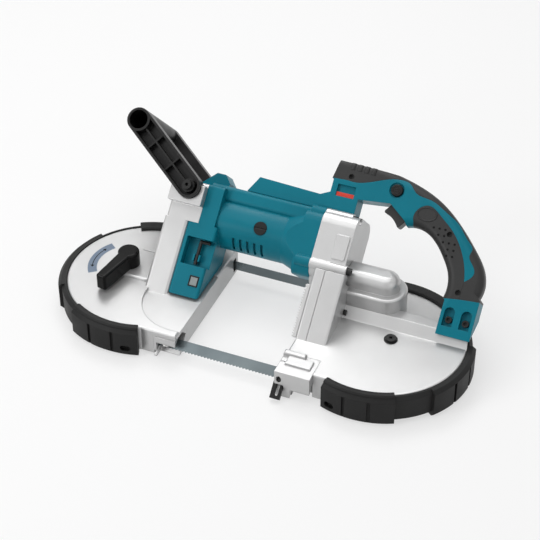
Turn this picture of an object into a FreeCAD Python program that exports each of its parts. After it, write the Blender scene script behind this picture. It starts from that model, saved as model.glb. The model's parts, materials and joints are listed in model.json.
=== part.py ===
import FreeCAD, Part
import math
import os

os.makedirs("parts", exist_ok=True)

# Layout. X runs along the saw, Y to the back, Z up from the ground under the bumpers.
wheel_spacing = 317.0
rim_shift = 10.0
rim_room = 16.0
face_height = 37.0
skirt_height = 4.0
lean_angle = 45.0
overrun = 2.0
fit = 0.05
run_gap = 0.4
reach = 600.0

# Blade loop, lying on the two wheels with its teeth down.
blade_radius = 80.5
blade_width = 13.0
blade_thick = 0.5
blade_drop = 20.0
blade_height = face_height - blade_drop
tooth_pitch = 4.0
tooth_depth = 1.3
twist_steps = 10
twist_lead = 9.0

# Wheel covers.
cover_wall = 3.5
cover_plate = 4.0
arm_room = 9.5
left_arm_room = 7.7
left_arm = blade_radius + left_arm_room
right_arm = 101.5
rim_round = 2.5
scoop_set = 11.7
scoop_y = -25.0
scoop_radius = 56.0
scoop_depth = 3.0
slot_half_width = 4.5
slot_half_height = 9.5
liner_wall = 1.5

# Raised back band of the right cover, and its gear dome.
band_rise = 10.75
band_front = 11.1
band_back = 40.3
foot_pad_left = 203.0
foot_pad_back = 58.0
dome_y = 52.0
dome_start = 88.4
dome_half_low = 25.3
dome_half_high = 16.1
dome_low_rise = 18.85
dome_rise = 49.0
dome_top = face_height + dome_rise
dome_wall = 3.5
dome_round = 11.0
dome_shoulder_round = 3.0

# Left upright, which carries the front grip.
strip_left = -143.6
strip_right = -113.0
strip_front = -14.0
strip_back = 46.0
strip_step = 74.0
head_left = -141.7
head_right = -99.7
head_back = 64.0
head_top = 122.0
upright_wall = 4.0
upright_round = 4.0
cradle_depth = 11.0
cradle_low = 93.0
cradle_high = 117.0

# Right upright under the gear housing.
pillar_width = 37.0
pillar_front = -28.0
pillar_back = 14.0
pillar_top = 56.0
pillar_root = -75.0
seam_set = 13.0
seam_width = 0.8
seam_depth = 0.8
serration_pitch = 3.0
serration_depth = 1.6
serration_count = 22
serration_width = 4.0
serration_low = -30.0

# Motor, in the leaning frame: x along the motor, a away from the front, u up the lean.
motor_a = 19.5
motor_u = 86.0
barrel_radius = 31.0
barrel_wall = 3.8
barrel_bore = barrel_radius - barrel_wall
barrel_left = -79.0
motor_right = 46.0
barrel_floor = 4.5
flange_left = 24.0
cone_left = 4.0
cone_back = 31.5
boss_left = 28.0
flange_low = 45.0
flange_high = 124.0
flange_front = -13.0
flange_back = 52.0
flange_round = 14.0
shoulder_low = 70.0
ridge_front = -4.0
ridge_back = 43.0
ridge_low = 108.0
ridge_round = 5.0
ridge_top = 126.8
holder_right = -75.0
holder_round = 3.0
holder_back = 40.0
recess_low = 24.0
recess_high = 57.0
recess_left = -108.0
recess_depth = 12.0
fin_left = -122.0
fin_right = -84.0
fin_top = 141.0
fin_front = 12.0
fin_back = 38.0
vent_count = 5
vent_width = 3.0
vent_pitch = 9.0
vent_length = 20.0
vent_first_x = -57.0
vent_turn = 145.0

# Gear housing between the motor and the right cover.
gear_right = 88.0
gear_low = 47.0
gear_high = 127.0
gear_front = -16.0
gear_back = 54.0
gear_round = 16.0
gear_wall = 4.0
panel_left = 68.5
panel_right = 85.0
panel_low = 72.0
panel_high = 101.0
panel_rise = 1.6
boss_radius = 6.5
boss_front_a = -13.0
boss_low_u = 62.0
boss_high_u = 123.0
boss_high_a = -2.0
boss_high_right = 79.0
boss_low_right = 91.0
screw_radius = 2.5
screw_head_radius = 4.5
screw_head_height = 5.0
screw_length = 34.0
socket_radius = 2.2
socket_depth = 2.6

# Motor inside.
can_thick = 1.6
magnet_thick = 4.2
magnet_angle = 130.0
air_gap = 0.7
can_left = -14.0
can_right = 34.0
core_left = -8.0
core_right = 27.0
core_slots = 12
slot_width = 2.4
slot_depth_motor = 7.0
shaft_radius = 4.0
shaft_left = -66.0
commutator_left = -32.0
commutator_right = -17.0
commutator_radius = 11.0
commutator_bars = 16
bar_slit = 0.6
fan_left = 35.0
fan_right = 41.0
fan_room = 3.2
fan_radius = barrel_bore - fan_room
fan_blades = 9
fan_blade_thick = 1.4
fan_hub = 9.0
brush_x = -24.5
brush_width = 8.0
brush_thick = 6.0
cap_radius = 8.0
cap_slot = 1.6
cap_proud = 0.5
cap_sink = 6.0
motor_bearing_radius = 9.5
motor_bearing_width = 6.0
left_bearing_x = -64.0
right_bearing_x = 46.6

# Gears. Motor pinion and intermediate gear, bevel pair, pinion and ring gear.
motor_teeth = 18
inter_teeth = 28
inter_module = 1.2
bevel_teeth_small = 14
bevel_teeth_large = 28
bevel_module = 1.25
bevel_face = 5.0
pinion_teeth = 12
ring_teeth = 65
ring_module = 1.5
pressure_angle = 20.0
backlash = 0.3
addendum_share = 0.85
dedendum_share = 1.25
spur_left = 56.0
spur_width = 9.0
spur_overlap = 1.0
inter_shaft_radius = 5.0
inter_left = 50.6
inter_bearing_radius = 9.0
inter_bearing_width = 5.0
inter_right_bearing = 89.0
pinion_shaft_radius = 5.0
pinion_bearing_radius = 11.0
pinion_bearing_width = 5.0
pinion_bearing_drop = 3.0
pinion_bearing_low = face_height - pinion_bearing_drop
bearing_spacer = 2.0
bevel_hub_height = 4.0
ring_rise = 8.2
ring_width = 5.2
ring_low = blade_height + ring_rise
ring_high = ring_low + ring_width
pinion_set = 0.2
pinion_over = 1.0
pinion_low = ring_low + pinion_set
pinion_high = ring_high + pinion_over
ring_inner = 38.0
gear_seat = 4.0

# Wheels and their axles.
tyre_thick = 3.0
wheel_half = 8.0
wheel_low = blade_height - wheel_half
wheel_high = blade_height + wheel_half
rim_thick = 9.0
web_drop = 3.0
web_rise = 2.0
web_low = blade_height - web_drop
web_high = blade_height + web_rise
hub_radius = 20.0
web_holes = 8
web_hole_radius = 10.5
web_hole_place = 54.6
bearing_radius = 15.0
seal_step = 0.5
axle_radius = 8.0
axle_drop = 11.0
hub_drop = 9.0
axle_low = blade_height - axle_drop
hub_low = blade_height - hub_drop
axle_nut_radius = 12.0
axle_nut_height = 3.0
axle_flange_radius = 13.0
axle_flange_height = 4.0
axle_screw_radius = 4.0
axle_screw_head = 6.5
axle_screw_height = 2.2
axle_screw_deep = 14.0
washer_radius = 8.0
washer_height = 1.0

# Blade tension.
lever_set = 18.2
lever_y = 7.8
lever_hub = 13.0
lever_top = 24.0
lever_swing = 9.3
lever_end_y = -49.0
lever_root_half = 8.5
lever_end_half = 6.5
lever_arm_low = 9.0
lever_round = 3.0
plateau_outer = 40.5
plateau_inner = 15.5
plateau_front = -13.0
plateau_back = 39.0
plateau_rise = 4.0
cam_shaft_radius = 6.0
cam_radius = 7.0
cam_throw = 2.2
cam_slack = 0.7
slide_half = 21.0
slide_drop = 10.0
slide_low = face_height - slide_drop
slide_thick = 5.4
slide_arm = 20.0
rail_height = 4.0
rail_width = 5.0
rail_run = 10.5

# Blade guides.
left_guide_set = 13.7
right_guide_set = 27.0
roller_radius = 4.5
roller_bore = 2.0
roller_low = 6.0
roller_high = 3.0
backup_radius = 4.0
backup_width = 5.0
holder_low = 7.5
holder_high = 15.5
holder_half_a = 10.5
holder_half_x = 9.0
backup_slot = 6.2
pin_fit = 0.05
pocket_gap = 0.6
guide_block_low = 1.0
left_block_behind = 20.0
left_block_ahead = 11.0
left_block_length = 27.7
right_block_proud = 1.3
right_block_length = 41.0
right_block_behind = 16.0
right_block_ahead = 19.0
blade_slot_half = 2.6
bar_height = 5.0
bar_depth = 7.0
bar_round = 2.0

# Stopper plate beside the right guide.
stopper_proud = 1.3
stopper_width = 11.8
stopper_ahead = 13.7
stopper_thick = 4.5
stopper_below = 29.4
stopper_head = 1.9
stopper_travel = 16.0
stopper_slot_half = 2.3
stopper_bolt = 2.0
stopper_bolt_head = 2.7
stopper_bolt_height = 2.4
stopper_edge = 3.0

# Bumpers, as angles in degrees round each cover and radii.
bumper_thin = 6.5
bumper_thick = 10.5
bumper_low = 2.5
bumper_lip = 3.5
front_lip = 2.5
back_lip = 8.5
pad_chamfer = 4.0
groove_half_angle = 1.1
groove_depth = 2.5
eye_radius = 4.0
eye_run = 2.2
eye_deep = 5.0

# Stretches of the bumpers, in degrees counted from the saw's right end round by the back.
left_band_angles = (97.0, 289.0)
left_pad_angles = ((97.0, 121.0), (150.0, 212.0), (239.0, 289.0))
left_lips = ((97.0, 121.0, back_lip), (239.0, 289.0, front_lip))
left_eye_angle = 281.0
right_band_angles = (-110.0, 104.0)
right_pad_angles = ((-110.0, -63.0), (-38.0, 14.0), (44.0, 104.0))
right_lips = ((-110.0, -63.0, front_lip), (44.0, 104.0, back_lip))
right_eye_angle = -104.0

# Handle, drawn in the leaning frame.
handle_near = 4.0
handle_far = 31.0
handle_round = 9.5
foot_left = 205.0
foot_right = 245.0
foot_low = 20.0
foot_top_inner = 60.0
foot_top_outer = 68.0
nose_left = -58.0
nose_low = 127.6
nose_high = 147.0
nose_lean = 11.0
block_left = 41.0
block_right = 76.0
block_top = 166.0
bar_left = 39.0
bar_top = 189.0
bar_low = 148.0
handle_right = 243.0
trigger_width = 16.0
trigger_travel = 6.0
trigger_x = 121.0
trigger_u = 139.0
trigger_length = 26.0
trigger_deep = 20.0
trigger_dish = 30.0
trigger_turn = 36.0
trigger_seat = 7.0
switch_length = 22.0
switch_height = 11.0
switch_width = 18.0
lock_x = 118.0
lock_u = 169.0
lock_radius = 7.0
lock_proud = 1.6
lock_travel = 4.0
lock_ring = 2.0
window_left = 48.0
window_right = 70.0
window_low = 147.0
window_high = 161.0
window_depth = 4.0
indicator_height = 5.0
indicator_thick = 2.5
case_screw_radius = 3.2
case_screw_deep = 6.0
foot_screw_radius = 4.0
foot_recess_width = 12.0
foot_recess_deep = 7.0
foot_recess_low = 31.0
foot_recess_high = 47.0
foot_screw_end = 32.0
terminal_width = 26.0
terminal_blade = 1.2
rail_gap = 10.0
battery_rail = 3.0
battery_left = -30.0

# Points of the handle's curves, as shares of its width from the bar's left end
# and of its height from the foot.
outer_shares = [(0.38, 0.99), (0.51, 0.95), (0.64, 0.885), (0.79, 0.752), (0.907, 0.61), (0.98, 0.494),
                (1.0, 0.43), (0.995, 0.30)]
inner_shares = [(0.795, 0.25), (0.802, 0.33), (0.785, 0.42), (0.74, 0.508), (0.68, 0.592), (0.604, 0.655),
                (0.545, 0.672), (0.49, 0.66)]
spine_shares = [(0.098, 0.872), (0.235, 0.90), (0.387, 0.959), (0.45, 0.948), (0.50, 0.893), (0.59, 0.87),
                (0.70, 0.81), (0.779, 0.756), (0.852, 0.664), (0.891, 0.607), (0.887, 0.562), (0.919,
                                                                                               0.503),
                (0.895, 0.383)]
palm_shares = [(0.526, 0.70), (0.526, 0.772), (0.584, 0.829), (0.675, 0.776), (0.748, 0.709),
               (0.844, 0.562),
               (0.895, 0.383)]
case_screw_shares = [(0.109, 0.901), (0.747, 0.671), (0.879, 0.302)]

# Front grip, a bail held in the cradle of the left upright.
grip_pivot_x = -119.0
grip_pivot_u = 113.0
grip_end_x = -203.0
grip_end_u = 176.0
grip_radius = 14.5
grip_near = -31.0
grip_arm_thick = 15.0
grip_far = 81.0
grip_wall = 3.0
grip_pocket = 11.0
grip_rib = 2.2
grip_ribs = 2
grip_boss = 8.0
grip_bolt = 3.0
grip_bolt_head = 5.5

# Hex wrench and lamp.
wrench_radius = 2.3
wrench_x = -92.0
wrench_low = 26.0
wrench_high = 54.0
wrench_leg = 12.0
wrench_a = -7.0
clip_half = 4.5
clip_low = 30.0
clip_high = 38.0
lamp_left = -90.0
lamp_right = -81.0
lamp_low = 1.0
lamp_high = 11.0
lamp_thick = 3.0

lean = math.radians(lean_angle)
lean_cos = math.cos(lean)
lean_sin = math.sin(lean)


def vec(x, y, z):
    return FreeCAD.Vector(x, y, z)


def block(x0, x1, y0, y1, z0, z1):
    """A box between two corners."""
    return Part.makeBox(x1 - x0, y1 - y0, z1 - z0, vec(x0, y0, z0))


def rod(radius, start, end):
    return Part.makeCylinder(radius, end.sub(start).Length, start, end.sub(start))


def post(radius, x, y, z0, z1):
    return rod(radius, vec(x, y, z0), vec(x, y, z1))


def axle_x(radius, a, u, x0, x1):
    """A rod along X, in whichever frame a and u are given."""
    return rod(radius, vec(x0, a, u), vec(x1, a, u))


def across(radius, x, u, a0, a1):
    """A rod along a, in the leaning frame."""
    return rod(radius, vec(x, a0, u), vec(x, a1, u))


def ring(outer, inner, start, end):
    return rod(outer, start, end).cut(rod(inner, start, end))


def collar(outer, inner, x, z0, z1):
    """An upright ring on the middle line of the saw."""
    return ring(outer, inner, vec(x, 0, z0), vec(x, 0, z1))


def sleeve(outer, inner, a, u, x0, x1):
    """A ring along X, in whichever frame a and u are given."""
    return axle_x(outer, a, u, x0, x1).cut(axle_x(inner, a, u, x0, x1))


def leaned(shape):
    """Moves a shape drawn in the leaning frame (x, a, u) to its place on the saw."""
    out = shape.copy()
    out.rotate(vec(0, 0, 0), vec(1, 0, 0), -lean_angle)
    out.translate(vec(0, 0, face_height))
    return out


def lean_point(y, z):
    """The (a, u) of a point given by Y and Z."""
    rise = z - face_height
    return y * lean_cos - rise * lean_sin, y * lean_sin + rise * lean_cos


def side_prism(points, a0, a1):
    """A profile in (x, u), drawn out along a."""
    wire = Part.makePolygon([vec(x, a0, u) for x, u in points + points[:1]])
    return Part.Face(wire).extrude(vec(0, a1 - a0, 0))


def softened(shape, radius, pick):
    """Rounds the edges that pick chooses."""
    edges = [edge for edge in shape.Edges if pick(edge.BoundBox)]
    return shape.makeFillet(radius, edges)


def flat_at(value, low, high):
    """Picks edges that lie in one plane of a bounding box."""
    return lambda box: abs(getattr(box, low) - value) < fit and abs(getattr(box, high) - value) < fit


def along(axis, length):
    """Picks edges at least so long that run along one axis."""
    others = [name for name in ("XLength", "YLength", "ZLength") if name != axis]
    return lambda box: getattr(box, axis) > length and all(getattr(box, name) < fit for name in others)


def joined(shapes):
    out = shapes[0]
    for shape in shapes[1:]:
        out = out.fuse(shape)
    return out.removeSplitter()


def group(shapes):
    return Part.makeCompound(shapes)


def above(z):
    return block(-reach, reach, -reach, reach, z, reach)


def below(z):
    return block(-reach, reach, -reach, reach, -reach, z)


rim_spacing = wheel_spacing - 2 * rim_shift
rim_radius = blade_radius + rim_room
arm_half = blade_radius + arm_room
left_throat = wheel_spacing / 2 - left_arm
right_throat = wheel_spacing / 2 - right_arm
scoop_x = -left_throat - scoop_set
pillar_right = right_throat + pillar_width
seam_x = right_throat + seam_set
blade_a, blade_u = lean_point(-blade_radius, blade_height)
lever_x = -wheel_spacing / 2 - lever_set
lever_end_x = lever_x - lever_swing
slide_left = -wheel_spacing / 2 - 2 * slide_arm - run_gap
slide_right = -wheel_spacing / 2 + slide_arm + rail_run
guide_x_left = -left_throat - left_guide_set
guide_x_right = right_throat + right_guide_set
left_block_inner = -left_throat - left_block_length
right_block_left = right_throat - right_block_proud
right_block_right = right_throat + right_block_length
right_block_back = right_block_behind - blade_radius
right_block_front = -blade_radius - right_block_ahead
stopper_left = right_block_left - stopper_proud
stopper_right = stopper_left + stopper_width
stopper_front = blade_a - stopper_ahead
stopper_tip = blade_u - stopper_below
stopper_top = blade_u - stopper_head
bumper_pad = rim_radius + bumper_thick
motor_y = motor_a * lean_cos + motor_u * lean_sin
motor_z = face_height + motor_u * lean_cos - motor_a * lean_sin
inter_distance = inter_module * (motor_teeth + inter_teeth) / 2
inter_z = motor_z - math.sqrt(inter_distance ** 2 - (motor_y - dome_y) ** 2)
mesh_turn = math.atan2(dome_y - motor_y, motor_z - inter_z)
gear_room = inter_module * (inter_teeth / 2 + addendum_share) + run_gap
ring_distance = ring_module * (pinion_teeth + ring_teeth) / 2
pinion_x = wheel_spacing / 2 - math.sqrt(ring_distance ** 2 - dome_y ** 2)
wheel_radius = blade_radius - blade_thick / 2 - run_gap
band_height = face_height + band_rise
cone_large = math.atan2(bevel_teeth_large, bevel_teeth_small)
cone_length = bevel_module * bevel_teeth_large / 2 / math.sin(cone_large)


def involute_half(teeth, module, radius):
    """Half the angle of a tooth at a radius, with its share of the backlash taken off."""
    alpha = math.radians(pressure_angle)
    pitch = module * teeth / 2
    base = pitch * math.cos(alpha)
    rolled = math.acos(min(base / max(radius, base), 1))
    at_pitch = math.pi / teeth / 2 - backlash / pitch / 4
    return at_pitch + math.tan(alpha) - alpha - (math.tan(rolled) - rolled)


def gear_points(teeth, module, flank_steps, turn):
    """Outline of a spur gear as points; turn sets the angle of the first tooth."""
    pitch = module * teeth / 2
    root = pitch - dedendum_share * module
    tip = pitch + addendum_share * module
    radii = [root + (tip - root) * step / flank_steps for step in range(flank_steps + 1)]
    points = []
    for tooth in range(teeth):
        middle = turn + math.tau * tooth / teeth
        rising = [(radius, middle - involute_half(teeth, module, radius)) for radius in radii]
        falling = [(radius, 2 * middle - angle) for radius, angle in reversed(rising)]
        points += [(radius * math.cos(angle), radius * math.sin(angle)) for radius,
                   angle in rising + falling]
    return points


def spur_gear(teeth, module, width, flank_steps, turn):
    """A gear standing on the XY plane."""
    points = [vec(x, y, 0) for x, y in gear_points(teeth, module, flank_steps, turn)]
    return Part.Face(Part.makePolygon(points + points[:1])).extrude(vec(0, 0, width))


def bevel_gear(teeth, cone, flank_steps, turn):
    """A straight bevel gear with its apex at the origin, opening up the Z axis."""
    virtual = teeth / math.cos(cone)
    tip = bevel_module * addendum_share
    root = bevel_module * dedendum_share
    plane = cone_length * math.cos(cone)
    outline = []
    for tooth in range(teeth):
        middle = turn + math.tau * tooth / teeth
        side = []
        for step in range(flank_steps + 1):
            height = -root + (tip + root) * step / flank_steps
            angle = cone + math.atan2(height, cone_length)
            arc = involute_half(virtual, bevel_module, bevel_module * virtual / 2 + height)
            half = arc * (bevel_module * virtual / 2 + height) / (cone_length * math.sin(angle))
            side.append((plane * math.tan(angle), half))
        rising = [(radius, middle - half) for radius, half in side]
        falling = [(radius, middle + half) for radius, half in reversed(side)]
        outline += [(radius * math.cos(angle), radius * math.sin(angle)) for radius,
                    angle in rising + falling]
    small = (cone_length - bevel_face) / cone_length
    wires = []
    for scale in (1, small):
        points = [vec(x * scale, y * scale, plane * scale) for x, y in outline]
        wires.append(Part.makePolygon(points + points[:1]))
    return Part.makeLoft(wires, True, True)


def cover_solid(side, throat, inset, low, high):
    """The plan of a wheel cover: a disc and its straight throat arm, drawn in by inset."""
    centre = side * rim_spacing / 2
    edge = side * (throat + inset)
    far = centre + side * 2 * rim_radius
    disc = post(rim_radius - inset, centre, 0, low, high)
    arm = block(min(edge, centre), max(edge, centre), inset - arm_half, arm_half - inset, low, high)
    keep = block(min(edge, far), max(edge, far), -2 * rim_radius, 2 * rim_radius, low, high)
    return disc.fuse(arm).common(keep).removeSplitter()


def cover_shell(side, throat):
    """A wheel cover open below, with a rounded rim."""
    body = cover_solid(side, throat, 0, skirt_height, face_height)
    body = softened(body, rim_round, flat_at(face_height, "ZMin", "ZMax"))
    return body.cut(cover_solid(side, throat, cover_wall, skirt_height - overrun,
                                face_height - cover_plate))


def blade_slot(side, throat):
    """Where the return run of the blade passes through the throat wall."""
    edge = side * throat
    x0 = min(edge - side * overrun, edge + side * (cover_wall + overrun))
    x1 = max(edge - side * overrun, edge + side * (cover_wall + overrun))
    slot = block(x0, x1, blade_radius - slot_half_width, blade_radius + slot_half_width,
                 blade_height - slot_half_height, blade_height + slot_half_height)
    return softened(slot, slot_half_width / 2, along("XLength", cover_wall))


def stadium(x0, u0, x1, u1, radius, a0, a1):
    """A bar with round ends in the leaning frame."""
    length = math.hypot(x1 - x0, u1 - u0)
    nx = -(u1 - u0) / length * radius
    nu = (x1 - x0) / length * radius
    corners = [(x0 + nx, u0 + nu), (x0 - nx, u0 - nu), (x1 - nx, u1 - nu), (x1 + nx, u1 + nu)]
    ends = [across(radius, x, u, a0, a1) for x, u in ((x0, u0), (x1, u1))]
    return joined([side_prism(corners, a0, a1)] + ends)


def grip_envelope(gap, a0, a1):
    return stadium(grip_pivot_x, grip_pivot_u, grip_end_x, grip_end_u, grip_radius + gap, a0, a1)


def left_upright():
    """The leaning casting on the left cover, hollow and open to the motor."""
    wall = upright_wall
    strip = block(strip_left, strip_right, strip_front, strip_back, -strip_step, strip_step)
    strip = softened(strip, upright_round, along("ZLength", strip_step))
    head = block(head_left, head_right, strip_front, head_back, strip_step, head_top)
    head = softened(head, upright_round, lambda box: box.XMax < head_left + fit or
                    along("XLength", wall)(box) and box.ZMin > head_top - fit)
    cradles = []
    for a0, a1 in ((strip_front - cradle_depth, strip_front), (head_back, head_back + cradle_depth)):
        seat = block(head_left, head_right, a0, a1, cradle_low, cradle_high)
        cradles.append(seat.cut(grip_envelope(run_gap, a0 - overrun, a1 + overrun)))
    body = joined([strip, head] + cradles)
    body = body.cut(block(strip_left + wall, strip_right + overrun, strip_front + wall, strip_back - wall,
                          -strip_step, strip_step - wall))
    body = body.cut(block(head_left + wall, head_right + overrun, strip_front + wall, head_back - wall,
                          strip_step + wall, head_top - wall))
    return body.cut(across(grip_bolt + fit, grip_pivot_x, grip_pivot_u, strip_front - overrun,
                           head_back + overrun))


def tension_plateau():
    """The raised bed of the tension slide on the left cover."""
    top = face_height + plateau_rise
    middle = -wheel_spacing / 2
    bed = block(middle - plateau_outer, middle + plateau_inner, plateau_front, plateau_back,
                face_height - cover_plate, top)
    bed = softened(bed, plateau_rise, along("ZLength", plateau_rise))
    return softened(bed, rim_round, flat_at(top, "ZMin", "ZMax"))


def slide_rails():
    """Two rails under the left cover that guide the tension slide."""
    low = slide_low
    high = face_height - cover_plate + fit
    rails = []
    for side in (-1, 1):
        inner = side * (slide_half + run_gap)
        outer = side * (slide_half + run_gap + rail_width)
        rails.append(block(slide_left, slide_right, min(inner, outer), max(inner, outer), low, high))
    return rails


def slide_room():
    """Space that the tension slide needs over its travel."""
    right = -wheel_spacing / 2 + slide_arm + 2 * cam_throw + run_gap
    half = slide_half + run_gap
    return block(slide_left, right, -half, half, slide_low - overrun, slide_low + slide_thick + run_gap)


def left_guide_room(gap):
    """The space of the left guide block under the arm plate."""
    front = -blade_radius - left_block_ahead
    back = left_block_behind - blade_radius
    return block(left_block_inner - gap, -left_throat + gap, front - gap, back + gap, -overrun,
                 face_height - scoop_depth - cover_plate)


def left_frame():
    shell = cover_shell(-1, left_throat)
    thick = post(scoop_radius + cover_wall, scoop_x, scoop_y, face_height - scoop_depth - cover_plate,
                 face_height)
    thick = thick.common(cover_solid(-1, left_throat, cover_wall / 2, skirt_height,
                                     face_height - rim_round))
    body = joined([shell, thick, tension_plateau()] + slide_rails())
    body = body.cut(post(scoop_radius, scoop_x, scoop_y, face_height - scoop_depth, face_height + overrun))
    upright = leaned(left_upright()).cut(below(face_height - scoop_depth - fit))
    body = joined([body, upright])
    body = body.cut(blade_slot(-1, left_throat))
    body = body.cut(left_guide_room(fit))
    body = body.cut(slide_room())
    return body.cut(post(cam_shaft_radius + run_gap, lever_x, lever_y, 0, face_height + lever_top))


def slot_liner(side, throat):
    """The black edging in the slot where the blade leaves an arm."""
    edge = side * throat
    x0 = min(edge, edge + side * cover_wall)
    x1 = max(edge, edge + side * cover_wall)
    edging = blade_slot(side, throat + fit).common(block(x0, x1, 0, reach, 0, reach))
    inner = block(x0 - overrun, x1 + overrun, blade_radius - slot_half_width + liner_wall,
                  blade_radius + slot_half_width - liner_wall, blade_height - slot_half_height + liner_wall,
                  blade_height + slot_half_height - liner_wall)
    return edging.cut(inner)


def right_pillar():
    """The leaning pillar of the right cover, under the gear housing."""
    profile = [(pillar_front, pillar_root), (pillar_front, pillar_top), (gear_front, pillar_top),
               (gear_front, gear_low), (pillar_back, gear_low), (pillar_back, pillar_root)]
    wire = Part.makePolygon([vec(right_throat, a, u) for a, u in profile + profile[:1]])
    body = Part.Face(wire).extrude(vec(pillar_right - right_throat, 0, 0))
    body = softened(body, rim_round, lambda box: box.YMax < pillar_front + fit and box.ZLength > pillar_top)
    seam = block(seam_x - seam_width / 2, seam_x + seam_width / 2, pillar_front - overrun,
                 pillar_front + seam_depth, pillar_root, reach)
    return body.cut(seam)


def serrated_edge():
    """The toothed work stop down the throat side of the right pillar."""
    points = [(right_throat, serration_low)]
    for tooth in range(serration_count):
        base = serration_low + serration_pitch * tooth
        points.append((right_throat - serration_width, base))
        points.append((right_throat - serration_width - serration_depth, base + serration_pitch / 2))
    points.append((right_throat - serration_width, serration_low + serration_pitch * serration_count))
    points.append((right_throat, serration_low + serration_pitch * serration_count))
    return side_prism(points, pillar_front + seam_width, pillar_front + seam_width + cover_wall)


def band_solid():
    """The raised rib of the right cover with the bed of the dome and the pad of the handle's foot."""
    low = face_height - cover_plate
    rib = block(-reach, reach, -reach, band_back, low, band_height)
    pad = block(foot_pad_left, reach, -reach, foot_pad_back, low, band_height)
    bed = dome_plan(dome_half_low, right_throat, low, band_height)
    front = leaned(block(-reach, reach, band_front, reach, -reach, reach))
    return joined([rib, pad, bed]).common(cover_solid(1, right_throat, 0, low, band_height)).common(front)


def dome_plan(half, start, low, high):
    """A stadium over the bevel gears, flat against the gear housing."""
    stem = block(start, pinion_x, dome_y - half, dome_y + half, low, high)
    return joined([stem, post(half, pinion_x, dome_y, low, high)])


def pillar_space():
    """The place of the right pillar below the gear housing."""
    return leaned(block(right_throat - fit, pillar_right + fit, -reach, pillar_back + fit, -reach,
                        gear_low))


def first_gear_room():
    """Space of the large gear of the first reduction."""
    return axle_x(gear_room, dome_y, inter_z, spur_left - run_gap, spur_left + spur_width + run_gap)


def right_guide_room(gap):
    return block(right_throat - overrun - gap, right_block_right + gap, right_block_front - gap,
                 right_block_back + gap, -overrun, face_height + overrun)


def right_frame():
    shell = cover_shell(1, right_throat)
    pillar = leaned(right_pillar()).cut(below(face_height - fit))
    body = joined([shell, band_solid(), pillar])
    body = body.cut(blade_slot(1, right_throat))
    body = body.cut(right_guide_room(fit)).cut(first_gear_room())
    bore_top = pinion_bearing_low + 2 * pinion_bearing_width + bearing_spacer
    body = body.cut(post(pinion_bearing_radius + fit, pinion_x, dome_y, 0, bore_top))
    body = body.cut(post(pinion_shaft_radius + run_gap, pinion_x, dome_y, 0, band_height + overrun))
    body = body.cut(post(axle_screw_radius + fit, wheel_spacing / 2, 0, 0, face_height + overrun))
    for x in foot_screw_places():
        body = body.cut(leaned(across(foot_screw_radius + fit, x, foot_screw_u(), handle_near,
                                      foot_screw_end + fit)))
    edge = leaned(serrated_edge()).cut(below(face_height + fit))
    return joined([body, edge])


def gear_dome():
    """The two-step dome bolted on the raised bed over the bevel gears."""
    shoulder = band_height + dome_low_rise
    ceiling = dome_top - dome_wall
    low = dome_plan(dome_half_low, dome_start, band_height, shoulder)
    low = softened(low, dome_shoulder_round,
                   lambda box: box.ZMin > shoulder - fit and box.XMax > dome_start + fit)
    high = dome_plan(dome_half_high, dome_start, band_height, dome_top)
    high = softened(high, dome_round, lambda box: box.ZMin > dome_top - fit and box.XMax > dome_start + fit)
    outside = joined([low, high])
    start = dome_start - overrun
    low_room = dome_plan(dome_half_low - dome_wall, start, band_height - overrun, shoulder - dome_wall)
    high_room = dome_plan(dome_half_high - dome_wall, start, band_height - overrun, ceiling)
    high_room = softened(high_room, dome_round - dome_wall, lambda box: box.ZMin > ceiling - fit and
                         box.XMax > dome_start + fit)
    seat = block(inter_right_bearing, inter_right_bearing + inter_bearing_width, dome_y - dome_half_high,
                 dome_y + dome_half_high, band_height, ceiling)
    body = joined([outside.cut(low_room).cut(high_room), seat.common(outside)])
    return body.cut(axle_x(inter_bearing_radius + fit, dome_y, inter_z, dome_start,
                           pinion_x)).cut(pillar_space())


def rounded_section(x0, x1, a0, a1, u0, u1, radius):
    """A block in the leaning frame with its four long edges rounded."""
    return softened(block(x0, x1, a0, a1, u0, u1), radius, along("XLength", (x1 - x0) / 2))


def gear_housing():
    """Cast case round the first reduction, with bosses for the long screws."""
    body = rounded_section(motor_right, gear_right, gear_front, gear_back, gear_low, gear_high, gear_round)
    bosses = [axle_x(boss_radius, boss_front_a, boss_low_u, motor_right, boss_low_right),
              axle_x(boss_radius, boss_high_a, boss_high_u, motor_right, boss_high_right)]
    panel = block(panel_left, panel_right, gear_front - panel_rise, gear_front + overrun, panel_low,
                  panel_high)
    panel = softened(panel, panel_rise, along("YLength", panel_rise))
    body = joined([body, panel] + bosses)
    room = rounded_section(right_bearing_x + motor_bearing_width, gear_right - gear_wall,
                           gear_front + gear_wall,
                           gear_back - gear_wall, gear_low + gear_wall, gear_high - gear_wall,
                           gear_round - gear_wall)
    sump = axle_x(gear_room + gear_wall, dome_y, inter_z, motor_right, gear_right).cut(pillar_space())
    body = joined([leaned(body),
                   sump]).cut(below(band_height)).cut(leaned(room).cut(below(band_height + gear_wall)))
    body = body.cut(axle_x(motor_bearing_radius + fit, motor_y, motor_z, motor_right - overrun, motor_right
                           + motor_bearing_width + overrun))
    left = axle_x(inter_bearing_radius + fit, dome_y, inter_z, inter_left, gear_right - gear_wall)
    right = axle_x(inter_shaft_radius + run_gap, dome_y, inter_z, inter_left, gear_right + overrun)
    body = body.cut(left).cut(right)
    for a, u, end in ((boss_front_a, boss_low_u, boss_low_right),
                      (boss_high_a, boss_high_u, boss_high_right)):
        body = body.cut(leaned(axle_x(screw_radius + fit, a, u, end - screw_length, end + overrun)))
        body = body.cut(leaned(axle_x(screw_head_radius + run_gap, a, u, end, reach)))
    return body.cut(first_gear_room()).cut(leaned(pillar_room()))


def pillar_room():
    """Space of the right pillar's raised front lip in front of the gear housing."""
    return block(right_throat - fit, pillar_right + fit, pillar_front, gear_front + fit, gear_low,
                 pillar_top + fit)


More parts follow.
